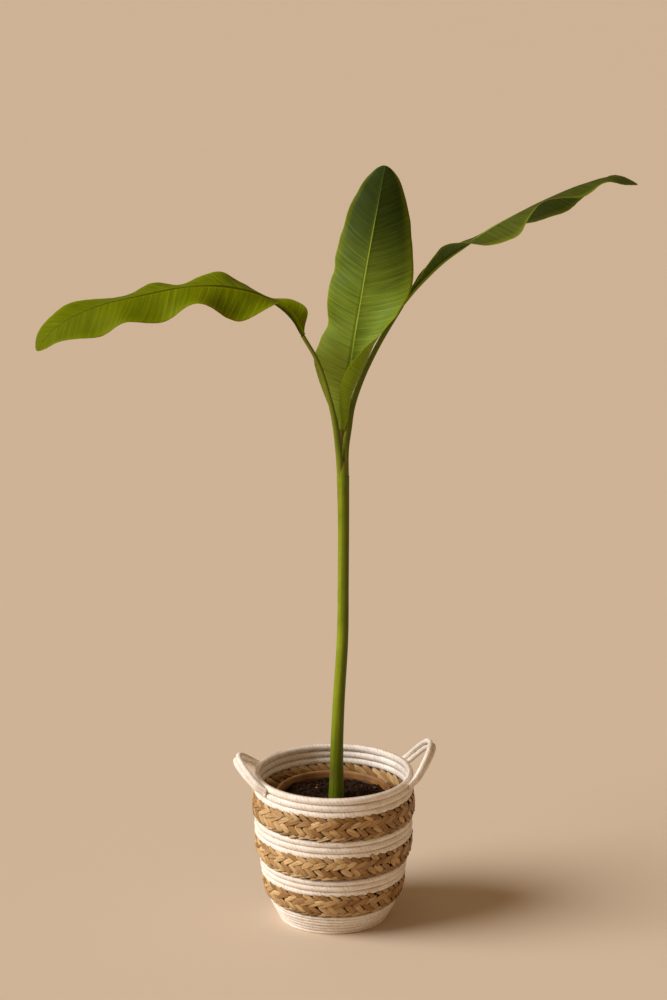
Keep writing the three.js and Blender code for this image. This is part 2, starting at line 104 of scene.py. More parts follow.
def unit(vectors: Array) -> Array:
    """Vectors of length one along the last axis."""
    return vectors / np.maximum(np.linalg.norm(vectors, axis=-1, keepdims=True), TINY)


def paired(first: Array, second: Array) -> Array:
    """Two grids broadcast together, as pairs along a new last axis."""
    return np.stack(np.broadcast_arrays(first, second), axis=-1)


def on_circle(angle: Array) -> Array:
    """Points on the unit circle."""
    return paired(np.cos(angle), np.sin(angle))


def round_axis(radius: Array | float, angle: Array, height: Array | float) -> Array:
    """Points at a distance from the Z axis, an angle round it and a height, broadcast together."""
    return np.stack(np.broadcast_arrays(radius * np.cos(angle), radius * np.sin(angle), height), axis=-1)


def angle_off(turn: Array, at: Array | float) -> Array:
    """Signed angle from at to turn, between minus half a turn and half a turn."""
    return (turn - at + math.pi) % TURN - math.pi


def far_side(angle: Array) -> Array:
    """1 where an angle round the plant faces away from the window, falling to 0 round it: a share of
    painted shade.
    """
    return facing_away(round_axis(1.0, angle, 0.0))


def facing_away(outward: Array) -> Array:
    """1 where an outward direction faces away from the window, falling to 0 round it: a share of painted
    shade.
    """
    shaded = np.array([math.cos(SHADED_TURN), math.sin(SHADED_TURN), 0.0])
    return smoothstep(-0.25, 0.75, outward @ shaded)


def smooth_through(stops: Array, values: Array, at: Array) -> Array:
    """Cubic pieces through keyed values, with the slope at each key shared by both its pieces.

    Args:
        stops: where the keys stand, rising.
        values: the value at each key.
        at: where the curve is wanted.

    Returns:
        The curve's values, in the shape of at.
    """
    stops, values, at = (np.asarray(each, float) for each in (stops, values, at))
    spans = np.diff(stops)
    rises = np.diff(values) / spans
    inner = (spans[1:] * rises[:-1] + spans[:-1] * rises[1:]) / (spans[:-1] + spans[1:])
    slopes = np.concatenate([rises[:1], inner, rises[-1:]])
    piece = np.clip(np.searchsorted(stops, at) - 1, 0, len(spans) - 1)
    x = (at - stops[piece]) / spans[piece]
    ease = x * x * (3 - 2 * x)
    swing = x * (1 - x) * spans[piece]
    lift = (values[piece + 1] - values[piece]) * ease
    return values[piece] + lift + swing * ((1 - x) * slopes[piece] - x * slopes[piece + 1])


@dataclass(frozen=True)
class Line:
    """A smooth line through corner points, run along by the share of its length."""

    corners: Array

    @property
    def stops(self) -> Array:
        """Distance from the start to each corner."""
        steps = np.linalg.norm(np.diff(self.corners, axis=0), axis=1)
        return np.concatenate([[0.0], np.cumsum(steps)])

    @property
    def length(self) -> float:
        """Whole length, corner to corner."""
        return float(self.stops[-1])

    def at(self, shares: Array) -> Array:
        """Points on the line.

        Args:
            shares: shares of the whole length.

        Returns:
            The points, one row each.
        """
        where = np.clip(shares, 0, 1) * self.length
        columns = [smooth_through(self.stops, self.corners[:, axis], where) for axis in range(3)]
        return np.stack(columns, axis=-1)

    def frames(self, shares: Array, faces: Array, step: float = 1e-3) -> tuple[Array, Array, Array]:
        """Direction along the line, its upper side and the side to its right.

        Args:
            shares: places along the line.
            faces: where the upper side looks, one vector or one a place.
            step: share of the length over which the direction is taken.

        Returns:
            Unit vectors along, up and side, one row a place.
        """
        along = unit(self.at(shares + step) - self.at(shares - step))
        faces = np.broadcast_to(np.asarray(faces, float), along.shape)
        up = unit(faces - along * np.sum(faces * along, axis=-1, keepdims=True))
        return along, up, np.cross(along, up)


class Ripple:
    """Gentle seeded unevenness: a sum of waves in two or three directions."""

    def __init__(self, seed: int, lengths: tuple[float, float], count: int = 14, axes: int = 3) -> None:
        """Draws the waves.

        Args:
            seed: fixes the draw.
            lengths: shortest and longest wave, in metres.
            count: number of waves.
            axes: number of coordinates that the waves run in.
        """
        draw = np.random.default_rng(seed)
        wave = draw.uniform(*lengths, count)
        direction = unit(draw.normal(size=(count, axes)))
        self.pace = direction * (TURN / wave)[:, None]
        self.start = draw.uniform(0, TURN, count)
        self.scale = 1 / math.sqrt(count / 2)

    def __call__(self, places: Array) -> Array:
        """Unevenness at places, about -1 to 1, with the last axis of places used up."""
        return np.sin(places @ self.pace.T + self.start).sum(axis=-1) * self.scale


# ------------------------------------------------------------------ meshes


def no_triangles() -> Array:
    """An empty list of triangles."""
    return np.zeros((0, 3), int)


@dataclass
class Skin:
    """A surface in the making: points, faces, a flat map for patterns and numbers a point carries."""

    points: Array
    quads: Array
    tris: Array = field(default_factory=no_triangles)
    quad_map: Array | None = None
    tri_map: Array | None = None
    carried: dict[str, Array] = field(default_factory=dict)

    def volume(self) -> float:
        """Signed volume.

        Returns:
            The sum of the corner products of every triangle, over six. It is above 0 where a
            closed surface faces outwards.
        """
        triangles = np.concatenate([self.quads[:, [0, 1, 2]], self.quads[:, [0, 2, 3]], self.tris])
        a, b, c = (self.points[triangles[:, k]] for k in range(3))
        return float(np.einsum("ij,ij->i", a, np.cross(b, c)).sum() / 6)

    def mapped_triangles(self) -> Array:
        """The triangles' flat map, all zeros where there is none."""
        return np.zeros((len(self.tris), 3, 2)) if self.tri_map is None else self.tri_map

    def outward(self) -> "Skin":
        """Turns the faces of a closed surface outwards.

        Returns:
            This same surface.
        """
        if self.volume() < 0:
            self.quads = self.quads[:, ::-1]
            self.tris = self.tris[:, ::-1]
            self.quad_map = None if self.quad_map is None else self.quad_map[:, ::-1]
            self.tri_map = None if self.tri_map is None else self.tri_map[:, ::-1]
        return self


def lattice(points: Array, flat: Array | None = None, around: bool = False, closed: bool = False,
            carried: dict[str, Array] | None = None) -> Skin:
    """Surface over a grid of points.

    Args:
        points: rows by columns by three.
        flat: the flat map of the grid, with one more row or column than points where the grid
            joins up with itself.
        around: whether the last column joins the first.
        closed: whether the last row joins the first.
        carried: numbers for each point, rows by columns, or what broadcasts to them.

    Returns:
        The surface.
    """
    rows, columns = points.shape[:2]
    row = np.arange(rows if closed else rows - 1)[:, None]
    column = np.arange(columns if around else columns - 1)[None, :]
    corners = [(row, column), (row, column + 1), (row + 1, column + 1), (row + 1, column)]
    spread = [np.broadcast_arrays(a, b) for a, b in corners]
    quads = np.stack([(a % rows) * columns + b % columns for a, b in spread], axis=-1).reshape(-1, 4)
    quad_map = None
    if flat is not None:
        quad_map = np.stack([flat[a, b] for a, b in spread], axis=2).reshape(-1, 4, 2)
    numbers = {name: np.broadcast_to(values, (rows, columns)).reshape(-1)
               for name, values in (carried or {}).items()}
    return Skin(points.reshape(-1, 3), quads, quad_map=quad_map, carried=numbers)


def capped(rings: Array, flat: Array | None = None, carried: dict[str, Array] | None = None) -> Skin:
    """Tube through rings of points, with a fan of triangles over each end.

    Args:
        rings: rings by sides by three.
        flat: flat map of the grid, with one column more than the rings have.
        carried: numbers for each point, rings by sides, or what broadcasts to them.

    Returns:
        The closed surface, facing outwards.
    """
    skin = lattice(rings, flat, around=True, carried=carried)
    count, sides = rings.shape[:2]
    side = np.arange(sides)
    after = (side + 1) % sides
    last = (count - 1) * sides
    ends = len(skin.points) + np.array([0, 1])
    first_fan = np.stack([np.full(sides, ends[0]), after, side], axis=-1)
    last_fan = np.stack([np.full(sides, ends[1]), last + side, last + after], axis=-1)
    skin.points = np.concatenate([skin.points, rings[:1].mean(axis=1), rings[-1:].mean(axis=1)])
    skin.tris = np.concatenate([first_fan, last_fan])
    if flat is not None:
        low, high = flat[0], flat[-1]
        skin.tri_map = np.concatenate([
            np.stack([low[:-1], low[1:], low[:-1]], axis=1),
            np.stack([high[:-1], high[:-1], high[1:]], axis=1)])
    for name, values in skin.carried.items():
        table = values.reshape(count, sides)
        skin.carried[name] = np.concatenate([values, [table[0].mean(), table[-1].mean()]])
    return skin.outward()


def gathered(skins: list[Skin]) -> Skin:
    """Several surfaces as one.

    Args:
        skins: the surfaces, all with a flat map or all without, carrying the same numbers.

    Returns:
        One surface that holds them all, unjoined.
    """
    starts = np.cumsum([0] + [len(each.points) for each in skins[:-1]])
    mapped = skins[0].quad_map is not None
    return Skin(
        np.concatenate([each.points for each in skins]),
        np.concatenate([each.quads + start for each, start in zip(skins, starts)]),
        np.concatenate([each.tris + start for each, start in zip(skins, starts)]),
        np.concatenate([each.quad_map for each in skins]) if mapped else None,
        np.concatenate([each.mapped_triangles() for each in skins]) if mapped else None,
        {name: np.concatenate([each.carried[name] for each in skins]) for name in skins[0].carried})


def turned_profile(profile: Array, steps: int, carried: dict[str, Array] | None = None) -> Skin:
    """A closed outline of radius and height turned about Z.

    Args:
        profile: outline points, radius and height, with no point on the axis.
        steps: facets round.
        carried: numbers for each outline point.

    Returns:
        The closed surface of revolution, facing outwards.
    """
    angle = np.linspace(0, TURN, steps, endpoint=False)[:, None]
    points = round_axis(profile[:, 0], angle, profile[:, 1])
    return lattice(points, around=True, closed=True, carried=carried).outward()


def make_piece(name: str, skin: Skin, finish: bpy.types.Material, node: str) -> None:
    """Puts a surface into the scene as a piece that rides on the object.

    Args:
        name: the piece's name.
        skin: its surface, in place.
        finish: its material.
        node: the CAD node that it replaces.
    """
    mesh = bpy.data.meshes.new(name)
    corners = np.concatenate([skin.quads.ravel(), skin.tris.ravel()])
    starts = np.concatenate([np.arange(0, skin.quads.size, 4),
                             skin.quads.size + np.arange(0, skin.tris.size, 3)])
    mesh.vertices.add(len(skin.points))
    mesh.vertices.foreach_set("co", skin.points.astype(np.float32).ravel())
    mesh.loops.add(len(corners))
    mesh.loops.foreach_set("vertex_index", corners.astype(np.int32))
    mesh.polygons.add(len(starts))
    mesh.polygons.foreach_set("loop_start", starts.astype(np.int32))
    mesh.polygons.foreach_set("use_smooth", np.ones(len(starts), bool))
    if skin.quad_map is not None:
        flat = np.concatenate([skin.quad_map.reshape(-1, 2), skin.mapped_triangles().reshape(-1, 2)])
        mesh.uv_layers.new(name=FLAT_MAP).uv.foreach_set("vector", flat.astype(np.float32).ravel())
    for key, values in skin.carried.items():
        mesh.attributes.new(key, "FLOAT", "POINT").data.foreach_set("value", values.astype(np.float32))
    mesh.update(calc_edges=True)
    mesh.validate()
    mesh.materials.append(finish)
    piece = bpy.data.objects.new(name, mesh)
    bpy.context.scene.collection.objects.link(piece)
    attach(piece, "root")
    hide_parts(node)
    LOG.info("%s: %d triangles, stands for %s", name, 2 * len(skin.quads) + len(skin.tris), node)


# ------------------------------------------------------------------ finishes


class Shade:
    """A number, vector or colour inside a material. Sums and products on it add Math nodes."""

    def __init__(self, paint: "Paint", socket: bpy.types.NodeSocket) -> None:
        """Wraps an output socket of a node."""
        self.paint = paint
        self.socket = socket

    def _math(self, operation: str, first: "Shade | float", second: "Shade | float") -> "Shade":
        """One Math node on two values."""
        return self.paint.node("ShaderNodeMath", {"operation": operation}, {0: first, 1: second})

    def __add__(self, other: "Shade | float") -> "Shade":
        """Sum."""
        return self._math("ADD", self, other)

    __radd__ = __add__

    def __sub__(self, other: "Shade | float") -> "Shade":
        """Difference."""
        return self._math("SUBTRACT", self, other)

    def __rsub__(self, other: float) -> "Shade":
        """Difference, taken from a plain number."""
        return self._math("SUBTRACT", other, self)

    def __mul__(self, other: "Shade | float") -> "Shade":
        """Product."""
        return self._math("MULTIPLY", self, other)

    def __pow__(self, other: float) -> "Shade":
        """Power."""
        return self._math("POWER", self, other)

    def wave(self) -> "Shade":
        """Sine of the value taken in turns, moved to run from 0 to 1."""
        return self.paint.node("ShaderNodeMath", {"operation": "SINE"}, {0: self * TURN}) * 0.5 + 0.5

    def ease(self, low: float, high: float) -> "Shade":
        """Eased step from 0 at low to 1 at high."""
        settings = {"interpolation_type": "SMOOTHSTEP"}
        return self.paint.node("ShaderNodeMapRange", settings, {0: self, 1: low, 2: high})


class Paint:
    """Builds the nodes of one material."""

    def __init__(self, name: str) -> None:
        """Starts an empty material.

        Args:
            name: the material's name.
        """
        self.material = bpy.data.materials.new(name)
        self.material.use_nodes = True
        self.tree = self.material.node_tree
        self.tree.nodes.clear()

    def node(self, kind: str, settings: dict | None = None, inputs: dict | None = None,
             output: int | str = 0) -> Shade:
        """Adds one node.

        Args:
            kind: Blender's name of the node's type.
            settings: its properties, set before its sockets.
            inputs: values or links by socket name or number.
            output: which of its outputs is wanted.

        Returns:
            The wanted output.
        """
        made = self.tree.nodes.new(kind)
        for key, value in (settings or {}).items():
            setattr(made, key, value)
        for key, value in (inputs or {}).items():
            if isinstance(value, Shade):
                self.tree.links.new(value.socket, made.inputs[key])
            else:
                made.inputs[key].default_value = value
        return Shade(self, made.outputs[output])

    def place(self) -> Shade:
        """The point on the piece, in metres."""
        return self.node("ShaderNodeTexCoord", output="Object")

    def flat(self) -> Shade:
        """The piece's own flat map."""
        return self.node("ShaderNodeUVMap", {"uv_map": FLAT_MAP})

    def carried(self, name: str) -> Shade:
        """A number that the piece's points carry."""
        return self.node("ShaderNodeAttribute", {"attribute_name": name}, output="Fac")

    def grain(self, vector: Shade, scale: Triple, detail: float = 3.0, rough: float = 0.55) -> Shade:
        """Soft noise drawn out along some axes, with its features a metre given for each axis."""
        drawn = self.node("ShaderNodeVectorMath", {"operation": "MULTIPLY"}, {0: vector, 1: scale})
        return self.noise(drawn, 1.0, detail, rough)

    def axis(self, vector: Shade, name: str) -> Shade:
        """One axis of a vector."""
        return self.node("ShaderNodeSeparateXYZ", inputs={0: vector}, output=name)

    def noise(self, vector: Shade, scale: float, detail: float = 3.0, rough: float = 0.55) -> Shade:
        """Soft noise from 0 to 1, scale features a metre."""
        return self.node("ShaderNodeTexNoise", inputs={
            "Vector": vector, "Scale": scale, "Detail": detail, "Roughness": rough})

    def mix(self, share: Shade | float, first: Shade | tuple, second: Shade | tuple) -> Shade:
        """Colour between two, by share."""
        settings = {"data_type": "RGBA", "clamp_factor": True}
        return self.node("ShaderNodeMix", settings, {0: share, 6: first, 7: second}, output=2)

    def bump(self, height: Shade, distance: float, strength: float = 1.0) -> Shade:
        """Normal bent by a height of 0 to 1 over a distance in metres."""
        inputs = {"Height": height, "Distance": distance, "Strength": strength}
        return self.node("ShaderNodeBump", inputs=inputs)

    def done(self, surface: Shade) -> bpy.types.Material:
        """Closes the material with its surface.

        Args:
            surface: the shader that the material ends in.

        Returns:
            The material.
        """
        output = self.tree.nodes.new("ShaderNodeOutputMaterial")
        self.tree.links.new(surface.socket, output.inputs["Surface"])
        return self.material

    def surface(self, colour: Shade, rough: Shade | float, normal: Shade, **constants: float) -> Shade:
        """Principled surface.

        Args:
            colour: base colour.
            rough: roughness.
            normal: bent normal.
            constants: other sockets, with underscores for spaces.

        Returns:
            The shader.
        """
        inputs = {"Base Color": colour, "Roughness": rough, "Normal": normal}
        inputs.update({key.replace("_", " "): value for key, value in constants.items()})
        return self.node("ShaderNodeBsdfPrincipled", inputs=inputs)


@dataclass(frozen=True)
class CottonFinish:
    """Undyed cotton rope: cream yarn with a slanted lay, with tan painted shade in its creases."""

    name: str = "cotton_rope"
    crown: Colour = srgb(249, 243, 236)
    shade: Colour = srgb(224, 205, 180)
    # Tan painted shade for the creases between rows, ropes and coils.
    crease: Colour = srgb(172, 136, 98)
    mottle_scale: float = 60.0
    uneven_scale: float = 130.0
    fuzz_scale: float = 700.0
    relief: float = 0.7 * MM

    def make(self) -> bpy.types.Material:
        """Builds the material from the lay along the flat map and the painted crease shade that points
        carry.

        Returns:
            The material.
        """
        paint = Paint(self.name)
        flat = paint.flat()
        lay = paint.axis(flat, "X") + paint.axis(flat, "Y")
        place = paint.place()
        mottle = paint.noise(place, self.mottle_scale, 4.0)
        uneven = paint.noise(place, self.uneven_scale, 2.0)
        strokes = (lay + uneven * 0.5).wave() ** 3 * uneven.ease(0.4, 0.62)
        fuzz = paint.noise(place, self.fuzz_scale, 3.0, 0.7)
        colour = paint.mix(mottle.ease(0.35, 0.8) * 0.6, self.crown, self.shade)
        colour = paint.mix(strokes * 0.7, colour, self.shade)
        # Painted shade in the creases between rows, ropes and coils.
        crease_shade = (paint.carried("crease") * (0.7 + mottle * 0.4)).ease(0.3, 1.1)
        colour = paint.mix(crease_shade * 0.85, colour, self.crease)
        relief = paint.bump(1 - strokes * 0.8 + fuzz * 0.4, self.relief, 0.9)
        return paint.done(paint.surface(colour, 0.85, relief, Sheen_Weight=0.15, Sheen_Roughness=0.6))


@dataclass(frozen=True)
class SeagrassFinish:
    """Dry plaited seagrass: tan blades with long fibres, with painted shade where they tuck under."""

    name: str = "seagrass_plait"
    light: Colour = srgb(232, 196, 142)
    middle: Colour = srgb(166, 119, 54)
    dark: Colour = srgb(92, 58, 16)
    # Painted shade where strands tuck under and in the gaps between them.
    tuck_shade: Colour = srgb(46, 25, 6)
    fibre_scale: Triple = (50.0, 1200.0, 1.0)
    streak_scale: Triple = (20.0, 360.0, 1.0)
    blotch_scale: float = 45.0
    relief: float = 0.7 * MM
    gloss: float = 0.55

    def make(self) -> bpy.types.Material:
        """Builds the material from each strand's tone, fibres along it and painted shade where it tucks
        under.

        Returns:
            The material.
        """
        paint = Paint(self.name)
        flat = paint.flat()
        fibres = paint.grain(flat, self.fibre_scale, rough=0.6)
        streaks = paint.grain(flat, self.streak_scale, 2.0, 0.6)
        blotch = paint.noise(paint.place(), self.blotch_scale)
        # The strands' tone is darker on the side away from the window: painted shade.
        strand = paint.carried("tone")
        # Painted shade at the strands' tucked ends, edges and undersides, and on the core.
        tuck_shade = paint.carried("tuck").ease(0.15, 0.85)
        tone = strand * 0.85 + streaks * 0.9 + blotch * 0.3 - 0.55
        colour = paint.mix(tone.ease(0.0, 0.9), self.middle, self.light)
        colour = paint.mix((1 - strand).ease(0.5, 1.0) * 0.35, colour, self.dark)
        colour = paint.mix(fibres.ease(0.46, 0.66) * 0.6, colour, self.dark)
        colour = paint.mix(streaks.ease(0.56, 0.68) * 0.4, colour, self.dark)
        colour = paint.mix(tuck_shade * 0.95, colour, self.tuck_shade)
        relief = paint.bump(fibres * 0.6 + streaks * 0.9, self.relief)
        rough = 0.36 + fibres * 0.24 + tuck_shade * 0.35
        return paint.done(paint.surface(colour, rough, relief, Specular_IOR_Level=self.gloss))


@dataclass(frozen=True)
class PotFinish:
    """Thin moulded plastic in tan brown, scuffed, with a tide mark of compost inside."""

    name: str = "pot_plastic"
    clean: Colour = srgb(162, 114, 62)
    scuffed: Colour = srgb(132, 90, 46)
    soiled: Colour = srgb(84, 54, 28)
    mottle_scale: float = 38.0
    scratch_scale: Triple = (60.0, 60.0, 1400.0)
    relief: float = 0.25 * MM

    def make(self) -> bpy.types.Material:
        """Builds the material from soft mottling, fine scratches and the soil mark's height.

        Returns:
            The material.
        """
        paint = Paint(self.name)
        place = paint.place()
        mottle = paint.noise(place, self.mottle_scale, 4.0)
        scratch = paint.grain(place, self.scratch_scale, 2.0)
        colour = paint.mix(mottle.ease(0.3, 0.7), self.clean, self.scuffed)
        soiled = paint.carried("soiled") * (0.5 + mottle)
        colour = paint.mix(soiled.ease(0.35, 0.8) * 0.8, colour, self.soiled)
        relief = paint.bump(mottle * 0.5 + scratch * 0.5, self.relief, 0.5)
        return paint.done(paint.surface(colour, 0.38 + mottle * 0.25, relief))


@dataclass(frozen=True)
class CompostFinish:
    """Dark moist compost, or the bits of bark in it."""

    name: str = "compost"
    dark: Colour = srgb(20, 11, 4)
    brown: Colour = srgb(58, 35, 15)
    chip: Colour = srgb(202, 132, 70)
    crumb_scale: float = 260.0
    patch_scale: float = 45.0
    relief: float = 1.6 * MM
    gloss: float = 0.15

    def make(self) -> bpy.types.Material:
        """Builds the material from crumbly noise and the tone that each crumb carries.

        Returns:
            The material.
        """
        paint = Paint(self.name)
        place = paint.place()
        crumbs = paint.noise(place, self.crumb_scale, 6.0, 0.7)
        patches = paint.noise(place, self.patch_scale)
        colour = paint.mix((crumbs * 0.6 + patches * 0.5).ease(0.4, 0.75), self.dark, self.brown)
        chips = paint.carried("tone").ease(0.3, 1.0) * (0.5 + crumbs * 0.8)
        colour = paint.mix(chips, colour, self.chip)
        relief = paint.bump(crumbs, self.relief)
        rough = 0.75 + patches * 0.2
        return paint.done(paint.surface(colour, rough, relief, Specular_IOR_Level=self.gloss))


@dataclass(frozen=True)
class StemFinish:
    """Living green stem or leaf stalk: smooth, with fine fibres along it, old marks and painted shade."""

    name: str
    light: Colour = srgb(156, 170, 36)
    deep: Colour = srgb(88, 108, 0)
    # Painted shade for the side turned away from the window.
    far_side_shade: Colour = srgb(52, 66, 0)
    shadow: Colour = srgb(50, 56, 4)
    scar: Colour = srgb(112, 70, 66)
    dry: Colour = srgb(140, 88, 46)
    fibre_scale: Triple = (14.0, 1500.0, 1.0)
    streak_scale: Triple = (3.5, 260.0, 1.0)
    patch_scale: float = 22.0
    relief: float = 0.22 * MM
    gloss: float = 0.16

    def make(self) -> bpy.types.Material:
        """Builds the material from streaks along the flat map and the marks and painted shade points carry.

        Returns:
            The material.
        """
        paint = Paint(self.name)
        flat = paint.flat()
        fibres = paint.grain(flat, self.fibre_scale, rough=0.6)
        streaks = paint.grain(flat, self.streak_scale, rough=0.5)
        patches = paint.noise(paint.place(), self.patch_scale)
        light = (streaks * 0.4 + patches * 0.35 + 0.24).ease(0.3, 0.8)
        colour = paint.mix(light, self.deep, self.light)
        colour = paint.mix(fibres.ease(0.5, 0.8) * 0.15, colour, self.deep)
        # Painted shade: far marks the side turned away from the window.
        colour = paint.mix(paint.carried("far") * 0.7, colour, self.far_side_shade)
        colour = paint.mix(paint.carried("line"), colour, self.shadow)
        colour = paint.mix(paint.carried("scar") * (0.6 + fibres * 0.7), colour, self.scar)
        colour = paint.mix(paint.carried("dry"), colour, self.dry)
        relief = paint.bump(fibres * 0.6 + streaks * 0.4, self.relief, 0.6)
        rough = 0.42 + patches * 0.16
        return paint.done(paint.surface(colour, rough, relief, Specular_IOR_Level=self.gloss))


@dataclass(frozen=True)
class BladeFinish:
    """Waxy banana leaf: parallel side veins, a pale midrib, yellow-green margins, paler underside.

    base_painted_light and tip_shade are the shares of the base and tip colours at the blade's two
    ends, painted light at the base and painted shade at the tip, and glow_share is the share of the
    light that shines through.
    """

    name: str
    deep: Colour = srgb(66, 88, 8)
    fresh: Colour = srgb(128, 152, 38)
    pale: Colour = srgb(154, 174, 70)
    rib: Colour = srgb(160, 184, 58)
    margin: Colour = srgb(150, 162, 8)
    under: Colour = srgb(120, 148, 0)
    # Painted light at the blade's base.
    base: Colour = srgb(200, 226, 84)
    # Painted shade towards the blade's tip.
    tip: Colour = srgb(20, 36, 0)
    glow: Colour = srgb(140, 168, 0)
    glow_share: float = 0.14
    # Painted shade beside the midrib, in its channel.
    furrow: Colour = srgb(52, 70, 6)
    base_painted_light: float = 0.85
    tip_shade: float = 0.85
    vein_pitch: float = 10.0 * MM
    streak_scale: Triple = (520.0, 16.0, 1.0)
    band_scale: Triple = (44.0, 9.0, 1.0)
    dark_line_scale: Triple = (150.0, 3.0, 1.0)
    pale_line_scale: Triple = (190.0, 3.5, 3.0)
    patch_scale: float = 9.0
    relief: float = 0.5 * MM
    gloss: float = 0.14

    def make(self) -> bpy.types.Material:
        """Builds the material: x of the flat map runs across the side veins, y along them.

        Broad bands and fine streaks lie along the veins. Where a noise crosses its middle there
        is a thin line: one noise gives the dark veins and one the pale ones.

        Returns:
            The material.
        """
        paint = Paint(self.name)
        flat = paint.flat()
        streaks = paint.grain(flat, self.streak_scale, rough=0.6)
        bands = paint.grain(flat, self.band_scale, 2.0, 0.5)
        dark_line = self.line(paint.grain(flat, self.dark_line_scale, 0.0), 0.0022)
        pale_line = self.line(paint.grain(flat, self.pale_line_scale, 0.0), 0.0030)
        vein = (paint.axis(flat, "X") * (1 / self.vein_pitch) + bands * 1.6).wave() ** 7
        vein = vein * streaks.ease(0.3, 0.62)
        patches = paint.noise(paint.place(), self.patch_scale, 2.0)
        tone = streaks * 0.2 + bands * 0.6 + patches * 0.8 - 0.32
        along, edge, under, near_rib, furrow = (
            paint.carried(name) for name in ("tip", "edge", "under", "rib", "furrow"))
        rib = near_rib.ease(0.2, 0.75) * (1 - along.ease(0.72, 0.94) * 0.8)
        colour = paint.mix(tone.ease(0.1, 0.85), self.deep, self.fresh)
        # The base colour is painted light and the tip colour painted shade.
        for share, over in (
                ((1 - along).ease(0.5, 0.96) * self.base_painted_light, self.base),
                (streaks.ease(0.5, 0.75) * 0.35, self.deep),
                (under * 0.9, self.under),
                (vein * (0.45 - under * 0.25), self.pale),
                (pale_line * 0.22, self.pale),
                (dark_line * (0.3 - under * 0.1), self.deep),
                (along.ease(0.45, 0.88) * (1 - under) * self.tip_shade, self.tip),
                (edge.ease(0.72, 1.0) * 0.3, self.margin),
                (edge.ease(0.965, 1.0) * streaks.ease(0.3, 0.6), self.margin),
                (rib, self.rib), (furrow, self.furrow)):
            colour = paint.mix(share, colour, over)
        relief = paint.bump(vein * 0.6 + streaks * 0.3 - dark_line * 0.4, self.relief, 0.6)
        rough = 0.44 + bands * 0.2 + streaks * 0.1
        shell = paint.surface(colour, rough, relief, Specular_IOR_Level=self.gloss)
        glow = paint.node("ShaderNodeBsdfTranslucent", inputs={"Color": self.glow})
        return paint.done(paint.node("ShaderNodeMixShader", inputs={0: self.glow_share, 1: shell, 2: glow}))

    @staticmethod
    def line(noise: Shade, width: float) -> Shade:
        """1 where a noise crosses its middle, falling to 0 beside it."""
        off = noise - 0.5
        return 1 - (off * off).ease(0.0, width)


@dataclass(frozen=True)
class FloorFinish:
    """Plain pale floor."""

    name: str = "pale_floor"
    light: Colour = srgb(214, 196, 174)
    dark: Colour = srgb(204, 184, 158)

    def make(self) -> bpy.types.Material:
        """Builds a plain matt material with the faintest mottle.

        Returns:
            The material.
        """
        paint = Paint(self.name)
        mottle = paint.noise(paint.place(), 3.0, 2.0)
        colour = paint.mix(mottle * 0.1, self.light, self.dark)
        return paint.done(paint.surface(colour, 0.75, paint.bump(mottle, 0.2 * MM, 0.1)))


# ------------------------------------------------------------------ basket


class Weave(Enum):
    """What a band of the basket's wall is made of."""

    ROPE = "rope"
    PLAIT = "plait"


@dataclass(frozen=True)
class Band:
    """One band of the wall: its CAD node, what it is made of and how many rows of rope it has."""

    node: str
    weave: Weave
    rows: int = 1


@dataclass(frozen=True)
class StrandRow:
    """One row of slanted strands in a plait, sized in metres and degrees.

    A strand's middle stands level above the band's lower edge, and the strand slopes up the wall
    by slant. Strands follow one another by pitch, and the row starts shift pitches round the wall.
    """

    level: float
    length: float
    width: float
    slant: float
    lift: float
    shift: float
    pitch: float


@dataclass
class BasketWall:
    """The basket's outer shape: its radius at each seam between two bands."""

    seam_radii: tuple[float, ...] = (0.102, 0.1217, 0.1347, 0.1406, 0.148, 0.1496, 0.1502, 0.15)
    thickness: float = 0.012
    bands: tuple[Band, ...] = (
        Band("rope_band_foot", Weave.ROPE, 6), Band("braid_band_low", Weave.PLAIT),
        Band("rope_band_low", Weave.ROPE, 3), Band("braid_band_mid", Weave.PLAIT),
        Band("rope_band_mid", Weave.ROPE, 3), Band("braid_band_top", Weave.PLAIT),
        Band("rope_band_rim", Weave.ROPE, 3))

    def seams(self) -> Array:
        """Heights of the seams, from the CAD bands' boxes."""
        lows = [box_heights(band.node)[0] for band in self.bands]
        return np.array([*lows, box_heights(self.bands[-1].node)[1]])

    def radius(self, heights: Array) -> Array:
        """Outer radius of the wall at heights."""
        return smooth_through(self.seams(), np.array(self.seam_radii), heights)


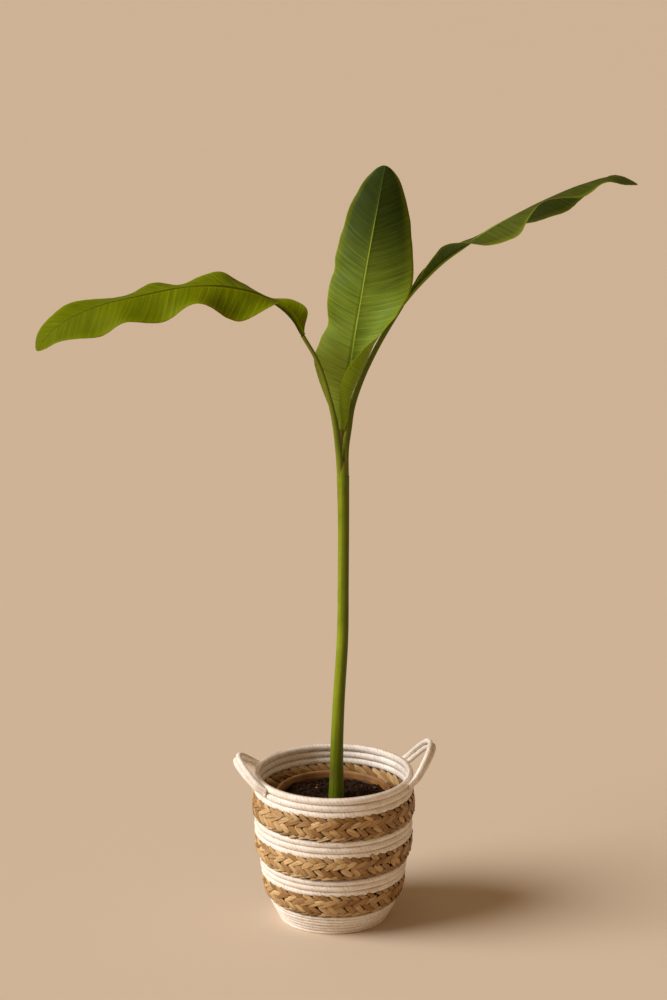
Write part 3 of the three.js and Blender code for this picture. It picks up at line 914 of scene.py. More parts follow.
@dataclass
class RopeRows:
    """Rows of twisted cotton rope, laid one on another and sewn together."""

    wall: BasketWall
    lay_pitch: float = 0.0075
    lay_depth: float = 0.0004
    lay_starts: int = 3
    lay_width: float = 0.2
    lay_unevenness: float = 0.35
    squareness: float = 4.0
    overlap: float = 1.02
    samples_a_turn: int = 5
    sides: int = 16
    fine_sides: int = 12
    fine_steps: int = 300
    wander: float = 0.0004
    modelled_rows: int = 3

    def row(self, low: float, high: float, fine: bool, seed: int) -> Skin:
        """One closed ring of rope.

        The section is a rounded slab: its half height is half the row, its half depth half the
        wall. Slanted grooves turn round the section as they run along the rope, and slow waves
        let the rope wander a little in and up.

        Args:
            low, high: heights of the row's lower and upper edge.
            fine: whether the row is thin rope with too fine a lay to model.
            seed: fixes the row's wandering.

        Returns:
            The row's closed surface, mapped in turns of the lay.
        """
        middle, half_height = (low + high) / 2, (high - low) / 2
        half_depth = self.wall.thickness / 2
        radius = float(self.wall.radius(np.array(middle))) - half_depth
        twists = round(TURN * radius / self.lay_pitch)
        steps = self.fine_steps if fine else twists * self.samples_a_turn
        sides = self.fine_sides if fine else self.sides
        way = np.linspace(0, 1, steps + 1)[:, None]
        section = np.linspace(0, 1, sides + 1)[None, :]
        circle = on_circle(TURN * way[:, 0])
        uneven = Ripple(seed + 2, (3.0, 9.0), axes=2)(circle)[:, None]
        phase = way * twists + section * self.lay_starts + uneven * self.lay_unevenness
        groove = bell(phase % 1 - 0.5, self.lay_width) * np.clip(0.6 + uneven * 0.5, 0.1, 1.0)
        lean, rise = np.cos(TURN * section), np.sin(TURN * section)
        slab = max(half_depth - half_height, 0.0)
        depth = 0.0 if fine else self.lay_depth
        swell = half_height - groove * depth * (1 - rise ** 4)
        out = slab * np.tanh(self.squareness * lean) + np.minimum(swell, half_depth) * lean
        up = swell * self.overlap * rise
        in_out = Ripple(seed, (0.5, 2.2), axes=2)(circle[:-1]) * self.wander
        up_down = Ripple(seed + 1, (0.6, 2.4), axes=2)(circle[:-1]) * self.wander * 0.6
        reach = radius + out[:-1, :-1] + in_out[:, None]
        height = middle + up[:-1, :-1] + up_down[:, None]
        points = round_axis(reach, TURN * way[:-1], np.maximum(height, 0.0))
        # Painted shade where the row meets the rows above and below it, and in its lay grooves.
        crease = np.abs(rise[:, :-1]) ** 6 + 0.12 * groove[:-1, :-1]
        flat = paired(way * twists, section * self.lay_starts)
        return lattice(points, flat, around=True, closed=True, carried={"crease": crease}).outward()

    def band(self, band: Band, low: float, high: float, seed: int) -> Skin:
        """All rows of one rope band.

        Args:
            band: the band.
            low, high: heights of its lower and upper edge.
            seed: fixes the rows' wandering.

        Returns:
            The closed rows as one surface.
        """
        edges = np.linspace(low, high, band.rows + 1)
        fine = band.rows > self.modelled_rows
        return gathered([self.row(edges[i], edges[i + 1], fine, seed + 7 * i) for i in range(band.rows)])


@dataclass
class Plait:
    """A flat plait of seagrass: rows of slanted strands that tuck under one another."""

    wall: BasketWall
    around: int = 12
    along: int = 14
    thickness: float = 1.35 * MM
    ridge_depth: float = 0.22 * MM
    ridges: float = 3.2
    near_dive: float = 1.2 * MM
    far_dive: float = 4.2 * MM
    sink: float = 1.3 * MM
    place_spread: float = 0.13
    slant_spread: float = 8.0
    width_spread: tuple[float, float] = (0.86, 1.08)
    length_spread: tuple[float, float] = (0.9, 1.08)
    core_half: float = 0.0022
    core_inset: float = 0.8 * MM
    # Share of painted shade on the core.
    core_shade: float = 0.75
    core_steps: int = 120
    outer_rows: tuple[StrandRow, ...] = (
        StrandRow(0.0062, 0.040, 0.0076, 12, 0.0004, 0.25, 0.0210),
        StrandRow(0.0182, 0.032, 0.0122, -42, 0.0034, 0.0, 0.0166),
        StrandRow(0.0312, 0.042, 0.0108, 22, 0.0030, 0.1, 0.0198),
        StrandRow(0.0422, 0.030, 0.0094, -28, 0.0014, 0.45, 0.0176))
    inner_rows: tuple[StrandRow, ...] = (
        StrandRow(0.0070, 0.042, 0.0120, 26, 0.0014, 0.0, 0.0185),
        StrandRow(0.0215, 0.042, 0.0135, -36, 0.0018, 0.3, 0.0185),
        StrandRow(0.0362, 0.042, 0.0120, 30, 0.0020, 0.7, 0.0185))

    def strands(self, row: StrandRow, low: float, inner: bool, seed: int) -> Skin:
        """One row of strands right round the basket.

        A strand is a flat ribbon with rounded edges. Its near end is blunt and lies on top, its
        far end narrows and dives under the next row, and its back arches out of the wall by
        lift. It bows a little sideways and leans about its own line, so that its upper edge slips
        under the strand above.

        Args:
            row: the row's sizes.
            low: height of the band's lower edge.
            inner: whether the row shows inside the basket.
            seed: fixes the strands' unevenness.

        Returns:
            All strands as one surface, mapped in metres along and across each strand.
        """
        draw = np.random.default_rng(seed)
        middle = low + row.level
        face = float(self.wall.radius(np.array(middle))) - (self.wall.thickness if inner else 0.0)
        count = round(TURN * face / row.pitch)
        nudge = draw.uniform(-self.place_spread, self.place_spread, count)
        place = (np.arange(count) + row.shift + nudge) * TURN / count
        slant = np.radians(row.slant + draw.uniform(-self.slant_spread, self.slant_spread, count))
        width = row.width * draw.uniform(*self.width_spread, count)
        length = row.length * draw.uniform(*self.length_spread, count)
        lift = row.lift + draw.uniform(-0.5, 0.5, count) * MM
        # Painted shade: strands on the side turned away from the window get a darker tone.
        shaded = far_side(place)
        tone = draw.uniform(0, 1, count) * (0.9 - 0.35 * shaded) + 0.1 * (1 - shaded)
        place, slant, width, length, lift, tone, shift = (
            values[:, None, None] for values in
            (place, slant, width, length, lift, tone, draw.uniform(0, 9, count)))
        along = np.linspace(-1, 1, self.along)[None, :, None]
        turn = np.linspace(0, TURN, self.around, endpoint=False)[None, None, :]
        near, far = np.clip(-along, 0, 1), np.clip(along, 0, 1)
        swell = (1 - near ** 6) ** 0.5 * (1 - 0.6 * far ** 3) * 0.94 + 0.06
        cos, sin = np.cos(turn), np.sin(turn)
        sideways = signed_power(cos, 0.7) * width / 2 * swell
        thick = self.thickness * (1 - near ** 6 * 0.7) * (1 - far ** 3 * 0.5)
        ridge = self.ridge_depth * np.cos(self.ridges * TURN * sideways / width + tone * TURN) * (sin > 0)
        bend = np.sign(slant) * (1 - along ** 2) * 1.1 * MM
        run = along * length / 2
        x = run * np.cos(slant) - (sideways + bend) * np.sin(slant)
        y = run * np.sin(slant) + (sideways + bend) * np.cos(slant)
        steep = abs(math.sin(math.radians(row.slant)))
        lean = -cos * (1.5 - 0.9 * steep) * MM
        dive = self.near_dive * near ** 3 + self.far_dive * far ** 3
        out = signed_power(sin, 0.55) * thick + ridge + lift - dive - self.sink + lean
        height = middle + y
        surface = self.wall.radius(height) - (self.wall.thickness if inner else 0.0)
        rings = round_axis(surface + (-out if inner else out), place + x / face, height)
        # Painted shade: darker at the far end that dives under, the near end, the underside and the edges.
        tuck = far ** 4 + 0.5 * near ** 8 + np.clip(-sin, 0, 1) + 0.72 * np.abs(cos) ** 4
        across = np.linspace(0, 1, self.around + 1)[None, None, :] * width * 2
        flat = paired(shift + run, shift + across)
        return gathered([capped(rings[i], flat[i], {"tone": tone[i], "tuck": tuck[0]})
                         for i in range(count)])

    def core(self, low: float, high: float) -> Skin:
        """Thin ring in the middle of the wall that the strands lie on, dark with painted shade in their
        gaps.

        Args:
            low, high: heights of the band's lower and upper edge.

        Returns:
            The closed ring, with a flat map of zeros.
        """
        heights = np.linspace(low + self.core_inset, high - self.core_inset, 8)
        middle = self.wall.radius(heights) - self.wall.thickness / 2
        outside = paired(middle + self.core_half, heights)
        inside = paired(middle - self.core_half, heights)[::-1]
        skin = turned_profile(np.concatenate([outside, inside]), self.core_steps,
                              {"tone": np.array(0.0), "tuck": np.array(self.core_shade)})
        skin.quad_map = np.zeros((len(skin.quads), 4, 2))
        return skin

    def band(self, low: float, high: float, seed: int) -> Skin:
        """One plaited band, inside and out.

        Args:
            low, high: heights of its lower and upper edge.
            seed: fixes the strands' unevenness.

        Returns:
            The core and all the strands as one surface.
        """
        skins = [self.core(low, high)]
        for rows, inner, first_seed in ((self.outer_rows, False, seed), (self.inner_rows, True, seed + 10)):
            skins += [self.strands(row, low, inner, first_seed + i) for i, row in enumerate(rows)]
        return gathered(skins)


@dataclass(frozen=True)
class Strap:
    """A loop handle: two ropes side by side, sewn outside the rim at both ends.

    It runs from the angle start to the angle end, in degrees, and goes out and up from the rim by
    metres at its top, where it leans outwards by degrees.
    """

    node: str
    start: float
    end: float
    out: float
    up: float
    lean: float


@dataclass
class Handles:
    """The basket's two loop handles."""

    wall: BasketWall
    straps: tuple[Strap, ...] = (
        Strap("handle_left", 157, 214, 0.026, 0.042, 33),
        Strap("handle_right", 31, -21, 0.030, 0.060, 38))
    rope: float = 0.0049
    spacing: float = 0.005
    foot_height: float = 0.276
    rise_power: float = 1.15
    sewn_share: float = 0.3
    end_share: float = 0.35
    steps: int = 240
    sides: int = 18
    lay_turns: int = 46
    lay_starts: int = 3
    lay_width: float = 0.17
    lay_depth: float = 0.00028

    def path(self, strap: Strap, shares: Array) -> tuple[Array, Array, Array, Array]:
        """Middle line of a strap.

        The angle round the basket runs evenly from start to end. The rise is a power of the
        half sine of the share, and the strap goes out, up and thick with it.

        Args:
            strap: the handle.
            shares: places along it, 0 to 1 and a little past.

        Returns:
            Centres, directions away from the basket's axis, thickness shares and rises.
        """
        angle = np.radians(strap.start + (strap.end - strap.start) * shares)
        rise = np.sin(math.pi * np.clip(shares, 0, 1)) ** self.rise_power
        thick = self.end_share + (1 - self.end_share) * smoothstep(0, self.sewn_share, rise)
        foot = float(self.wall.radius(np.array(self.foot_height))) + CLEARANCE
        radius = foot + self.rope * thick + strap.out * rise
        away = round_axis(1.0, angle, 0.0)
        centre = away * radius[:, None]
        centre[:, 2] = self.foot_height + strap.up * rise
        return centre, away, thick, rise

    def ropes(self, strap: Strap) -> Skin:
        """Both ropes of a strap.

        Each rope's section is an ellipse in the strap's own frame, which leans outwards with
        the rise, and slanted grooves run round it.

        Args:
            strap: the handle.

        Returns:
            The two closed ropes.
        """
        shares = np.linspace(0, 1, self.steps + 1)
        centre, away, thick, rise = self.path(strap, shares)
        nudge = 0.01
        along = unit(self.path(strap, shares + nudge)[0] - self.path(strap, shares - nudge)[0])
        outward = unit(away - along * np.sum(away * along, axis=1, keepdims=True))
        upward = np.cross(outward, along)
        upward *= np.where(upward[:, 2:] < 0, -1, 1)
        lean = np.radians(strap.lean) * rise[:, None]
        high = upward * np.cos(lean) - outward * np.sin(lean)
        face = outward * np.cos(lean) + upward * np.sin(lean)
        turn = np.linspace(0, 1, self.sides + 1)
        twists = shares[:, None] * self.lay_turns
        outer, level = np.cos(TURN * turn)[None, :], np.sin(TURN * turn)[None, :]
        ropes = []
        for hand in (-1, 1):
            phase = twists + hand * turn[None, :] * self.lay_starts
            groove = bell(phase % 1 - 0.5, self.lay_width)
            size = self.rope - groove * self.lay_depth
            out = outer * size * thick[:, None]
            up = level * size + hand * self.spacing
            points = centre[:, None] + out[..., None] * face[:, None] + up[..., None] * high[:, None]
            # Painted shade between the two ropes and in their lay grooves.
            crease = np.clip(-hand * level, 0, 1) ** 4 * 0.3 + groove * 0.1
            flat = paired(twists, hand * turn * self.lay_starts)
            ropes.append(capped(points[:, :-1], flat, {"crease": crease[:, :-1]}))
        return gathered(ropes)


@dataclass
class CoiledBase:
    """The basket's flat bottom: rope coiled out from the middle."""

    wall: BasketWall
    turns: int = 7
    sides: int = 12
    steps_a_turn: int = 72
    lay_a_turn: int = 12
    lay_starts: int = 3

    def coil(self) -> Skin:
        """One rope that spirals out to the wall.

        The centre's radius grows evenly with the angle, a rope's width a turn. The section is a
        slab with round sides, flat on the floor.

        Returns:
            The closed rope.
        """
        _, top = box_heights("basket_base")
        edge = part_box("basket_base")[1].x
        half_width = edge / (2 * self.turns + 1)
        shares = np.linspace(0, 1, self.turns * self.steps_a_turn + 1)
        angle = TURN * self.turns * shares
        radius = half_width * 0.25 + (edge - half_width * 1.25) * shares
        turn = np.linspace(0, 1, self.sides + 1)
        lean, rise = np.cos(TURN * turn), np.sin(TURN * turn)
        out = half_width * signed_power(lean, 0.7)
        height = top / 2 * (1 + signed_power(rise, 0.55))
        points = round_axis(radius[:, None] + out, angle[:, None], height)
        flat = paired(angle[:, None] * self.lay_a_turn / TURN, turn * self.lay_starts)
        # crease is painted shade where the coils meet.
        return capped(points[:, :-1], flat, {"crease": np.abs(lean[:-1]) ** 3})


@dataclass
class Basket:
    """The whole basket: coiled base, rope and plaited bands, and handles."""

    wall: BasketWall = field(default_factory=BasketWall)

    def build(self) -> None:
        """Makes and dresses every piece of the basket."""
        cotton = CottonFinish().make()
        seagrass = SeagrassFinish().make()
        ropes, plait, handles = RopeRows(self.wall), Plait(self.wall), Handles(self.wall)
        make_piece("coiled_base", CoiledBase(self.wall).coil(), cotton, "basket_base")
        seams = self.wall.seams()
        for number, band in enumerate(self.wall.bands):
            low, high = float(seams[number]), float(seams[number + 1])
            if band.weave is Weave.ROPE:
                skin = ropes.band(band, low, high, 100 + 31 * number)
                make_piece(f"twisted_{band.node}", skin, cotton, band.node)
            else:
                skin = plait.band(low, high, 500 + 31 * number)
                make_piece(f"plaited_{band.node}", skin, seagrass, band.node)
        for strap in handles.straps:
            make_piece(f"rope_{strap.node}", handles.ropes(strap), cotton, strap.node)


# ------------------------------------------------------------------ pot and compost


@dataclass
class NurseryPot:
    """Thin plastic pot with a turned-out lip, standing inside the basket."""

    foot_radius: float = 0.082
    body_radius: float = 0.1055
    lip_radius: float = 0.1085
    lip_depth: float = 0.009
    wall: float = 0.0026
    floor: float = 0.003
    soil_depth: float = 0.0135
    round_steps: int = 180
    flutes: int = 12
    flute_depth: float = 0.35 * MM
    outline_steps: int = 90
    axis_gap: float = 0.0005
    first_inside: int = 11

    def profile(self) -> Array:
        """Outline of the wall, from the bottom up the outside, over the lip and down inside.

        The corner numbered first_inside is the first one on the inside below the lip.

        Returns:
            The outline's corners, radius and height.
        """
        low, top = box_heights("nursery_pot")
        lip = top - self.lip_depth
        soft = 1.0 * MM
        inner = self.lip_radius - 2 * self.wall
        return np.array([
            [self.axis_gap, low], [self.foot_radius - 3 * soft, low], [self.foot_radius, low + 3 * soft],
            [self.body_radius - 0.3 * MM, lip - soft], [self.body_radius + 0.6 * MM, lip],
            [self.lip_radius - 0.4 * soft, lip + soft], [self.lip_radius, lip + 2 * soft],
            [self.lip_radius, top - 0.8 * soft], [self.lip_radius - 0.8 * soft, top],
            [inner + soft, top], [inner + 0.2 * soft, top - 0.7 * soft], [inner, lip],
            [self.body_radius - self.wall, lip - 3 * soft],
            [self.foot_radius - self.wall, low + self.floor], [self.axis_gap, low + self.floor]])

    def build(self) -> None:
        """Makes the pot. Shallow flutes run down its wall, and compost has marked its inside."""
        outline = self.profile()
        _, top = box_heights("nursery_pot")
        stops = np.concatenate([[0], np.cumsum(np.linalg.norm(np.diff(outline, axis=0), axis=1))])
        dense = np.unique(np.concatenate([stops, np.linspace(0, stops[-1], self.outline_steps)]))
        fine = np.stack([np.interp(dense, stops, outline[:, k]) for k in range(2)], axis=-1)
        level = top - self.soil_depth
        inside = dense > stops[self.first_inside]
        soiled = inside * (1 - smoothstep(level - 1 * MM, level + 5 * MM, fine[:, 1]))
        skin = turned_profile(fine, self.round_steps, {"soiled": soiled})
        angle = np.arctan2(skin.points[:, 1], skin.points[:, 0])
        below = 1 - smoothstep(top - 2 * self.lip_depth, top - self.lip_depth, skin.points[:, 2])
        away = np.linalg.norm(skin.points[:, :2], axis=1)
        flute = self.flute_depth * (np.cos(self.flutes * angle) - 1) / 2
        press = flute * below * smoothstep(0.02, 0.06, away)
        skin.points[:, :2] *= (1 + press / np.maximum(away, MM))[:, None]
        make_piece("moulded_pot", skin, PotFinish().make(), "nursery_pot")


@dataclass
class Compost:
    """Compost in the pot: a crumbly surface with loose crumbs and bits of bark.

    Loose bits lie between the radii in spread, and one bit is a ball of so many sides and rings.
    """

    pot: NurseryPot
    slump: float = 0.0026
    sectors: int = 150
    rings: int = 60
    crumbs: int = 900
    chips: int = 110
    spread: tuple[float, float] = (0.026, 0.0985)
    axis_gap: float = 0.0006
    bit_sides: int = 8
    bit_rings: int = 5
    bit_cap: float = 72.0
    bit_roughness: tuple[float, float] = (0.72, 1.2)
    bit_widths: tuple[float, float] = (0.45, 0.9)
    bit_tilt: float = 0.6

    def level(self) -> float:
        """Height of the compost round the stem."""
        return box_heights("nursery_pot")[1] - self.pot.soil_depth

    def surface(self, x: Array, y: Array) -> Array:
        """Height of the compost: slow lumps, clods and small crumbs on a flat top.

        Args:
            x, y: places on it.

        Returns:
            The height at each place.
        """
        flat = paired(x, y)
        away = np.hypot(x, y)
        slow = Ripple(11, (0.045, 0.11), axes=2)(flat) * 1.7 * MM
        clods = Ripple(12, (0.013, 0.03), 24, axes=2)(flat)
        small = Ripple(13, (0.005, 0.010), 40, axes=2)(flat)
        rough = np.abs(clods) * 1.5 * MM + np.abs(small) * 0.8 * MM
        edge = smoothstep(0.07, 0.102, away) * self.slump
        return self.level() + slow * smoothstep(0.015, 0.05, away) + rough - 0.8 * MM - edge

    def bed(self) -> Skin:
        """The compost itself, closed below inside the pot.

        Returns:
            The closed surface, with a tone of 0.
        """
        low, _ = box_heights("soil")
        foot = self.pot.foot_radius - self.pot.wall - CLEARANCE
        level = self.level()
        rise = (self.pot.body_radius - self.pot.foot_radius) / (level - low)
        rim = foot + rise * (level - low - 4 * MM)
        radii = np.linspace(self.axis_gap, rim, self.rings)[:, None]
        angle = np.linspace(0, TURN, self.sectors, endpoint=False)
        x, y = radii * np.cos(angle), radii * np.sin(angle)
        top = round_axis(radii, angle, self.surface(x, y))
        below = [round_axis(radius, angle, height)[None] for radius, height in
                 ((rim, level - 8 * MM), (foot, low), (self.axis_gap, low))]
        return capped(np.concatenate([top, *below]), carried={"tone": np.array(0.0)})

    def bits(self, count: int, seed: int, sizes: tuple[float, float], flat: float,
             tones: tuple[float, float]) -> Skin:
        """Loose bits that lie on the compost.

        A bit is a ball with every point moved in or out, pressed flat, stretched, tilted and
        turned at random.

        Args:
            count: how many.
            seed: fixes the draw.
            sizes: smallest and largest half length.
            flat: thickness as a share of the width.
            tones: lowest and highest tone carried.

        Returns:
            All the bits as one surface.
        """
        draw = np.random.default_rng(seed)
        nearest, furthest = self.spread
        away = np.sqrt(draw.uniform(nearest ** 2, furthest ** 2, count))
        around = draw.uniform(0, TURN, count)
        x, y = away * np.cos(around), away * np.sin(around)
        size = sizes[0] + (sizes[1] - sizes[0]) * draw.uniform(0, 1, count) ** 2.5
        tone = draw.uniform(*tones, count) ** 1.5
        ground = self.surface(x, y)
        rise = np.radians(np.linspace(-self.bit_cap, self.bit_cap, self.bit_rings))[:, None]
        turn = np.linspace(0, TURN, self.bit_sides, endpoint=False)[None, :]
        ball = round_axis(np.cos(rise), turn, np.sin(rise) * flat)
        skins = []
        for i in range(count):
            rough = ball * draw.uniform(*self.bit_roughness, ball.shape[:2])[..., None]
            rough = rough * np.array([1, draw.uniform(*self.bit_widths), 1]) * size[i]
            tilt, spin = draw.uniform(-self.bit_tilt, self.bit_tilt), draw.uniform(0, TURN)
            lean = np.array([[math.cos(tilt), 0, math.sin(tilt)], [0, 1, 0],
                             [-math.sin(tilt), 0, math.cos(tilt)]])
            head = np.array([[math.cos(spin), -math.sin(spin), 0], [math.sin(spin), math.cos(spin), 0],
                             [0, 0, 1]])
            middle = np.array([x[i], y[i], ground[i] + size[i] * flat * 0.35])
            skins.append(capped(rough @ lean.T @ head.T + middle, carried={"tone": tone[i]}))
        return gathered(skins)

    def build(self) -> None:
        """Makes the compost and everything that lies on it."""
        skin = gathered([
            self.bed(),
            self.bits(self.crumbs, 21, (0.9 * MM, 3.6 * MM), 0.75, (0.0, 0.35)),
            self.bits(self.chips, 22, (2.0 * MM, 5.5 * MM), 0.3, (0.1, 1.0))])
        make_piece("compost", skin, CompostFinish().make(), "soil")


# ------------------------------------------------------------------ stem and leaf stalks


@dataclass(frozen=True)
class SheathEdge:
    """The edge of an old leaf sheath on the stem: a fine step that climbs and turns a little.

    It runs from height low to high, in metres, and from turn_low to turn_high, in degrees.
    """

    low: float
    high: float
    turn_low: float
    turn_high: float
    step: float = 0.00014


@dataclass(frozen=True)
class Mark:
    """A soft spot on the stem: its turn in degrees, its height, and its half sizes both ways."""

    turn: float
    height: float
    half_turn: float
    half_height: float
    strength: float = 1.0

    def over(self, turn: Array, height: Array) -> Array:
        """The spot's strength at turns in radians and heights in metres."""
        across = bell(turn - math.radians(self.turn), self.half_turn)
        return self.strength * across * bell(height - self.height, self.half_height)


@dataclass
class Stem:
    """Pseudostem: tight leaf sheaths that taper and lean from the compost to the fork.

    The places and radii are keyed by the rise above the cut. The sleeve's edge is keyed by degrees
    round the stem and millimetres above the fork.
    """

    rises: tuple[float, ...] = (0, 0.038, 0.095, 0.195, 0.314, 0.440, 0.548, 0.630)
    x_places: tuple[float, ...] = (0.005, 0.0056, 0.0062, 0.010, 0.0166, 0.018, 0.0183, 0.0175)
    radii: tuple[float, ...] = (0.0149, 0.0134, 0.0122, 0.0114, 0.0108, 0.0105, 0.0105, 0.0113)
    steps: int = 420
    sides: int = 72
    partings: tuple[float, ...] = (60, 150, 290)
    parting_heights: tuple[float, float] = (0.80, 0.866)
    parting_depth: float = 1.1 * MM
    parting_width: float = 0.16
    parting_line: float = 0.12
    step_fade: float = 0.5
    line_width: float = 0.07
    line_strength: float = 0.14
    unevenness: float = 0.12 * MM
    darker_below_heights: tuple[float, float] = (0.25, 0.48)
    sleeve_edge: tuple[tuple[float, float], ...] = (
        (0, 2.4), (60, 2.0), (150, 2.2), (205, 2.6), (236, 6), (258, 19), (274, 32), (281, 36),
        (286, 28), (296, 12), (312, 4), (360, 2.4))
    sleeve_drop: float = 0.016
    sleeve_flare: float = 0.035
    sleeve_wall: float = 0.9 * MM
    sleeve_levels: tuple[int, int] = (14, 5)
    map_radius: float = 0.011
    scars: tuple[Mark, ...] = (Mark(230, 0.286, 0.22, 0.011), Mark(186, 0.644, 0.2, 0.004, 0.8))
    dry_spot: Mark = Mark(200, 0.836, 0.25, 0.016, 0.7)
    edges: tuple[SheathEdge, ...] = (
        SheathEdge(0.236, 0.372, 215, 196), SheathEdge(0.30, 0.66, 128, 150),
        SheathEdge(0.45, 0.866, 322, 300), SheathEdge(0.60, 0.866, 246, 262),
        SheathEdge(0.24, 0.58, 20, 48))

    def sleeve(self, fork: float, x_middle: float) -> Skin:
        """The last sheath, which closes round the fork and ends in a slanted edge with a dry tip.

        Args:
            fork: height at which the leaf stalks part.
            x_middle: the fork's middle.

        Returns:
            A thin closed collar.
        """
        turns = np.linspace(0, 360, self.sides * 2 + 1)
        rises = np.interp(turns, *zip(*self.sleeve_edge)) * MM
        outer, inner = self.sleeve_levels
        level = np.concatenate([np.linspace(0, 1, outer), [1.0], np.linspace(1, 0, inner)])
        inward = np.concatenate([np.zeros(outer), [0.7], np.ones(inner)])
        height = fork - self.sleeve_drop + (rises[:, None] + self.sleeve_drop) * level
        above = np.clip(height - fork, 0, None)
        reach = self.radii[-1] + 0.25 * MM - self.sleeve_wall * inward + above * self.sleeve_flare
        reach = reach - 0.6 * MM * (1 - smoothstep(0, 0.35, level)) * (inward == 0)
        angle = np.radians(turns)[:, None]
        points = round_axis(reach, angle, height)
        points[..., 0] += x_middle
        tip = smoothstep(20 * MM, 34 * MM, above)
        edge = level ** 12 * smoothstep(8 * MM, 22 * MM, rises)[:, None]
        # far is painted shade on the side turned away from the window.
        carried = {"line": np.array(0.0), "far": far_side(angle)[:-1],
                   "scar": np.clip(edge * 0.3, 0, 1)[:-1], "dry": np.clip(tip + 0.5 * edge, 0, 1)[:-1]}
        flat = paired(height, angle * self.map_radius)
        flat = np.concatenate([flat, flat[:, :1] + 1 * MM], axis=1)
        return lattice(points[:-1], flat, around=True, closed=True, carried=carried).outward()

    def build(self) -> None:
        """Makes the stem.

        Each sheath edge is a step in the radius that fades round the stem from the edge, and
        shallow grooves under the fork run on from the partings of the three leaf stalks.
        """
        low, high = box_heights("pseudostem")
        share = np.linspace(0, 1, self.steps + 1)
        height = low + (high - low) * share
        rise = share * self.rises[-1]
        x = smooth_through(self.rises, self.x_places, rise)
        radius = smooth_through(self.rises, self.radii, rise)
        turn = np.linspace(0, TURN, self.sides + 1)
        wide_height, wide_turn = np.meshgrid(height, turn, indexing="ij")
        relief = np.zeros_like(wide_turn)
        line = np.zeros_like(wide_turn)
        for edge in self.edges:
            here = (wide_height - edge.low) / (edge.high - edge.low)
            inside = smoothstep(0, 0.06, here) * (1 - smoothstep(0.94, 1.0, here))
            at = np.radians(edge.turn_low + (edge.turn_high - edge.turn_low) * np.clip(here, 0, 1))
            off = angle_off(wide_turn, at)
            relief -= edge.step * inside * np.exp(-np.clip(off, 0, None) / self.step_fade) * (off > 0)
            line = np.maximum(line, inside * bell(off, self.line_width))
        near = smoothstep(*self.parting_heights, wide_height)
        for parting in self.partings:
            off = angle_off(wide_turn, math.radians(parting))
            relief -= self.parting_depth * near * bell(off, self.parting_width)
            line = np.maximum(line, near * 0.9 * bell(off, self.parting_line))
        waves = Ripple(31, (0.5, 1.5))(round_axis(1.2, wide_turn, wide_height * 3))
        relief += self.unevenness * waves
        points = round_axis(radius[:, None] + relief, turn, wide_height)
        points[..., 0] += x[:, None]
        flat = paired(wide_height, wide_turn * self.map_radius)
        scar = sum(mark.over(wide_turn, wide_height) for mark in self.scars)
        # Darker towards the bottom; far also holds painted shade on the side turned away from the window.
        old = 0.95 * (1 - smoothstep(*self.darker_below_heights, wide_height))
        carried = {"line": line * self.line_strength, "far": np.maximum(far_side(turn), old),
                   "scar": np.clip(scar, 0, 1), "dry": self.dry_spot.over(wide_turn, wide_height)}
        carried = {name: values[:, :-1] for name, values in carried.items()}
        skin = gathered([capped(points[:, :-1], flat, carried), self.sleeve(high, float(x[-1]))])
        make_piece("sheathed_stem", skin, StemFinish("stem_skin").make(), "pseudostem")


@dataclass(frozen=True)
class StalkShape:
    """One leaf stalk: the slice of the fork that it starts from and its line up to its blade.

    The slice is in degrees, and the width, depths and line in millimetres.
    """

    node: str
    sector: tuple[float, float]
    width: float
    depths: tuple[float, float]
    channel_towards: Triple
    line: tuple[Triple, ...]
    dry: float = 0.0


@dataclass(frozen=True)
class BladeShape:
    """One blade: its midrib, where its upper side looks and how each half hangs from the midrib.

    The rib is in millimetres. Each half is keyed along it by share, half width in millimetres,
    and degrees above the blade's level at the rib and at the edge.
    """

    node: str
    faces: Triple
    tip_power: float
    rib_half_width: float
    rib: tuple[Triple, ...]
    right: tuple[HalfKey, ...]
    left: tuple[HalfKey, ...]
    finish: BladeFinish

    def midrib(self) -> Line:
        """The midrib's line, in metres."""
        return Line(np.array(self.rib) * MM)


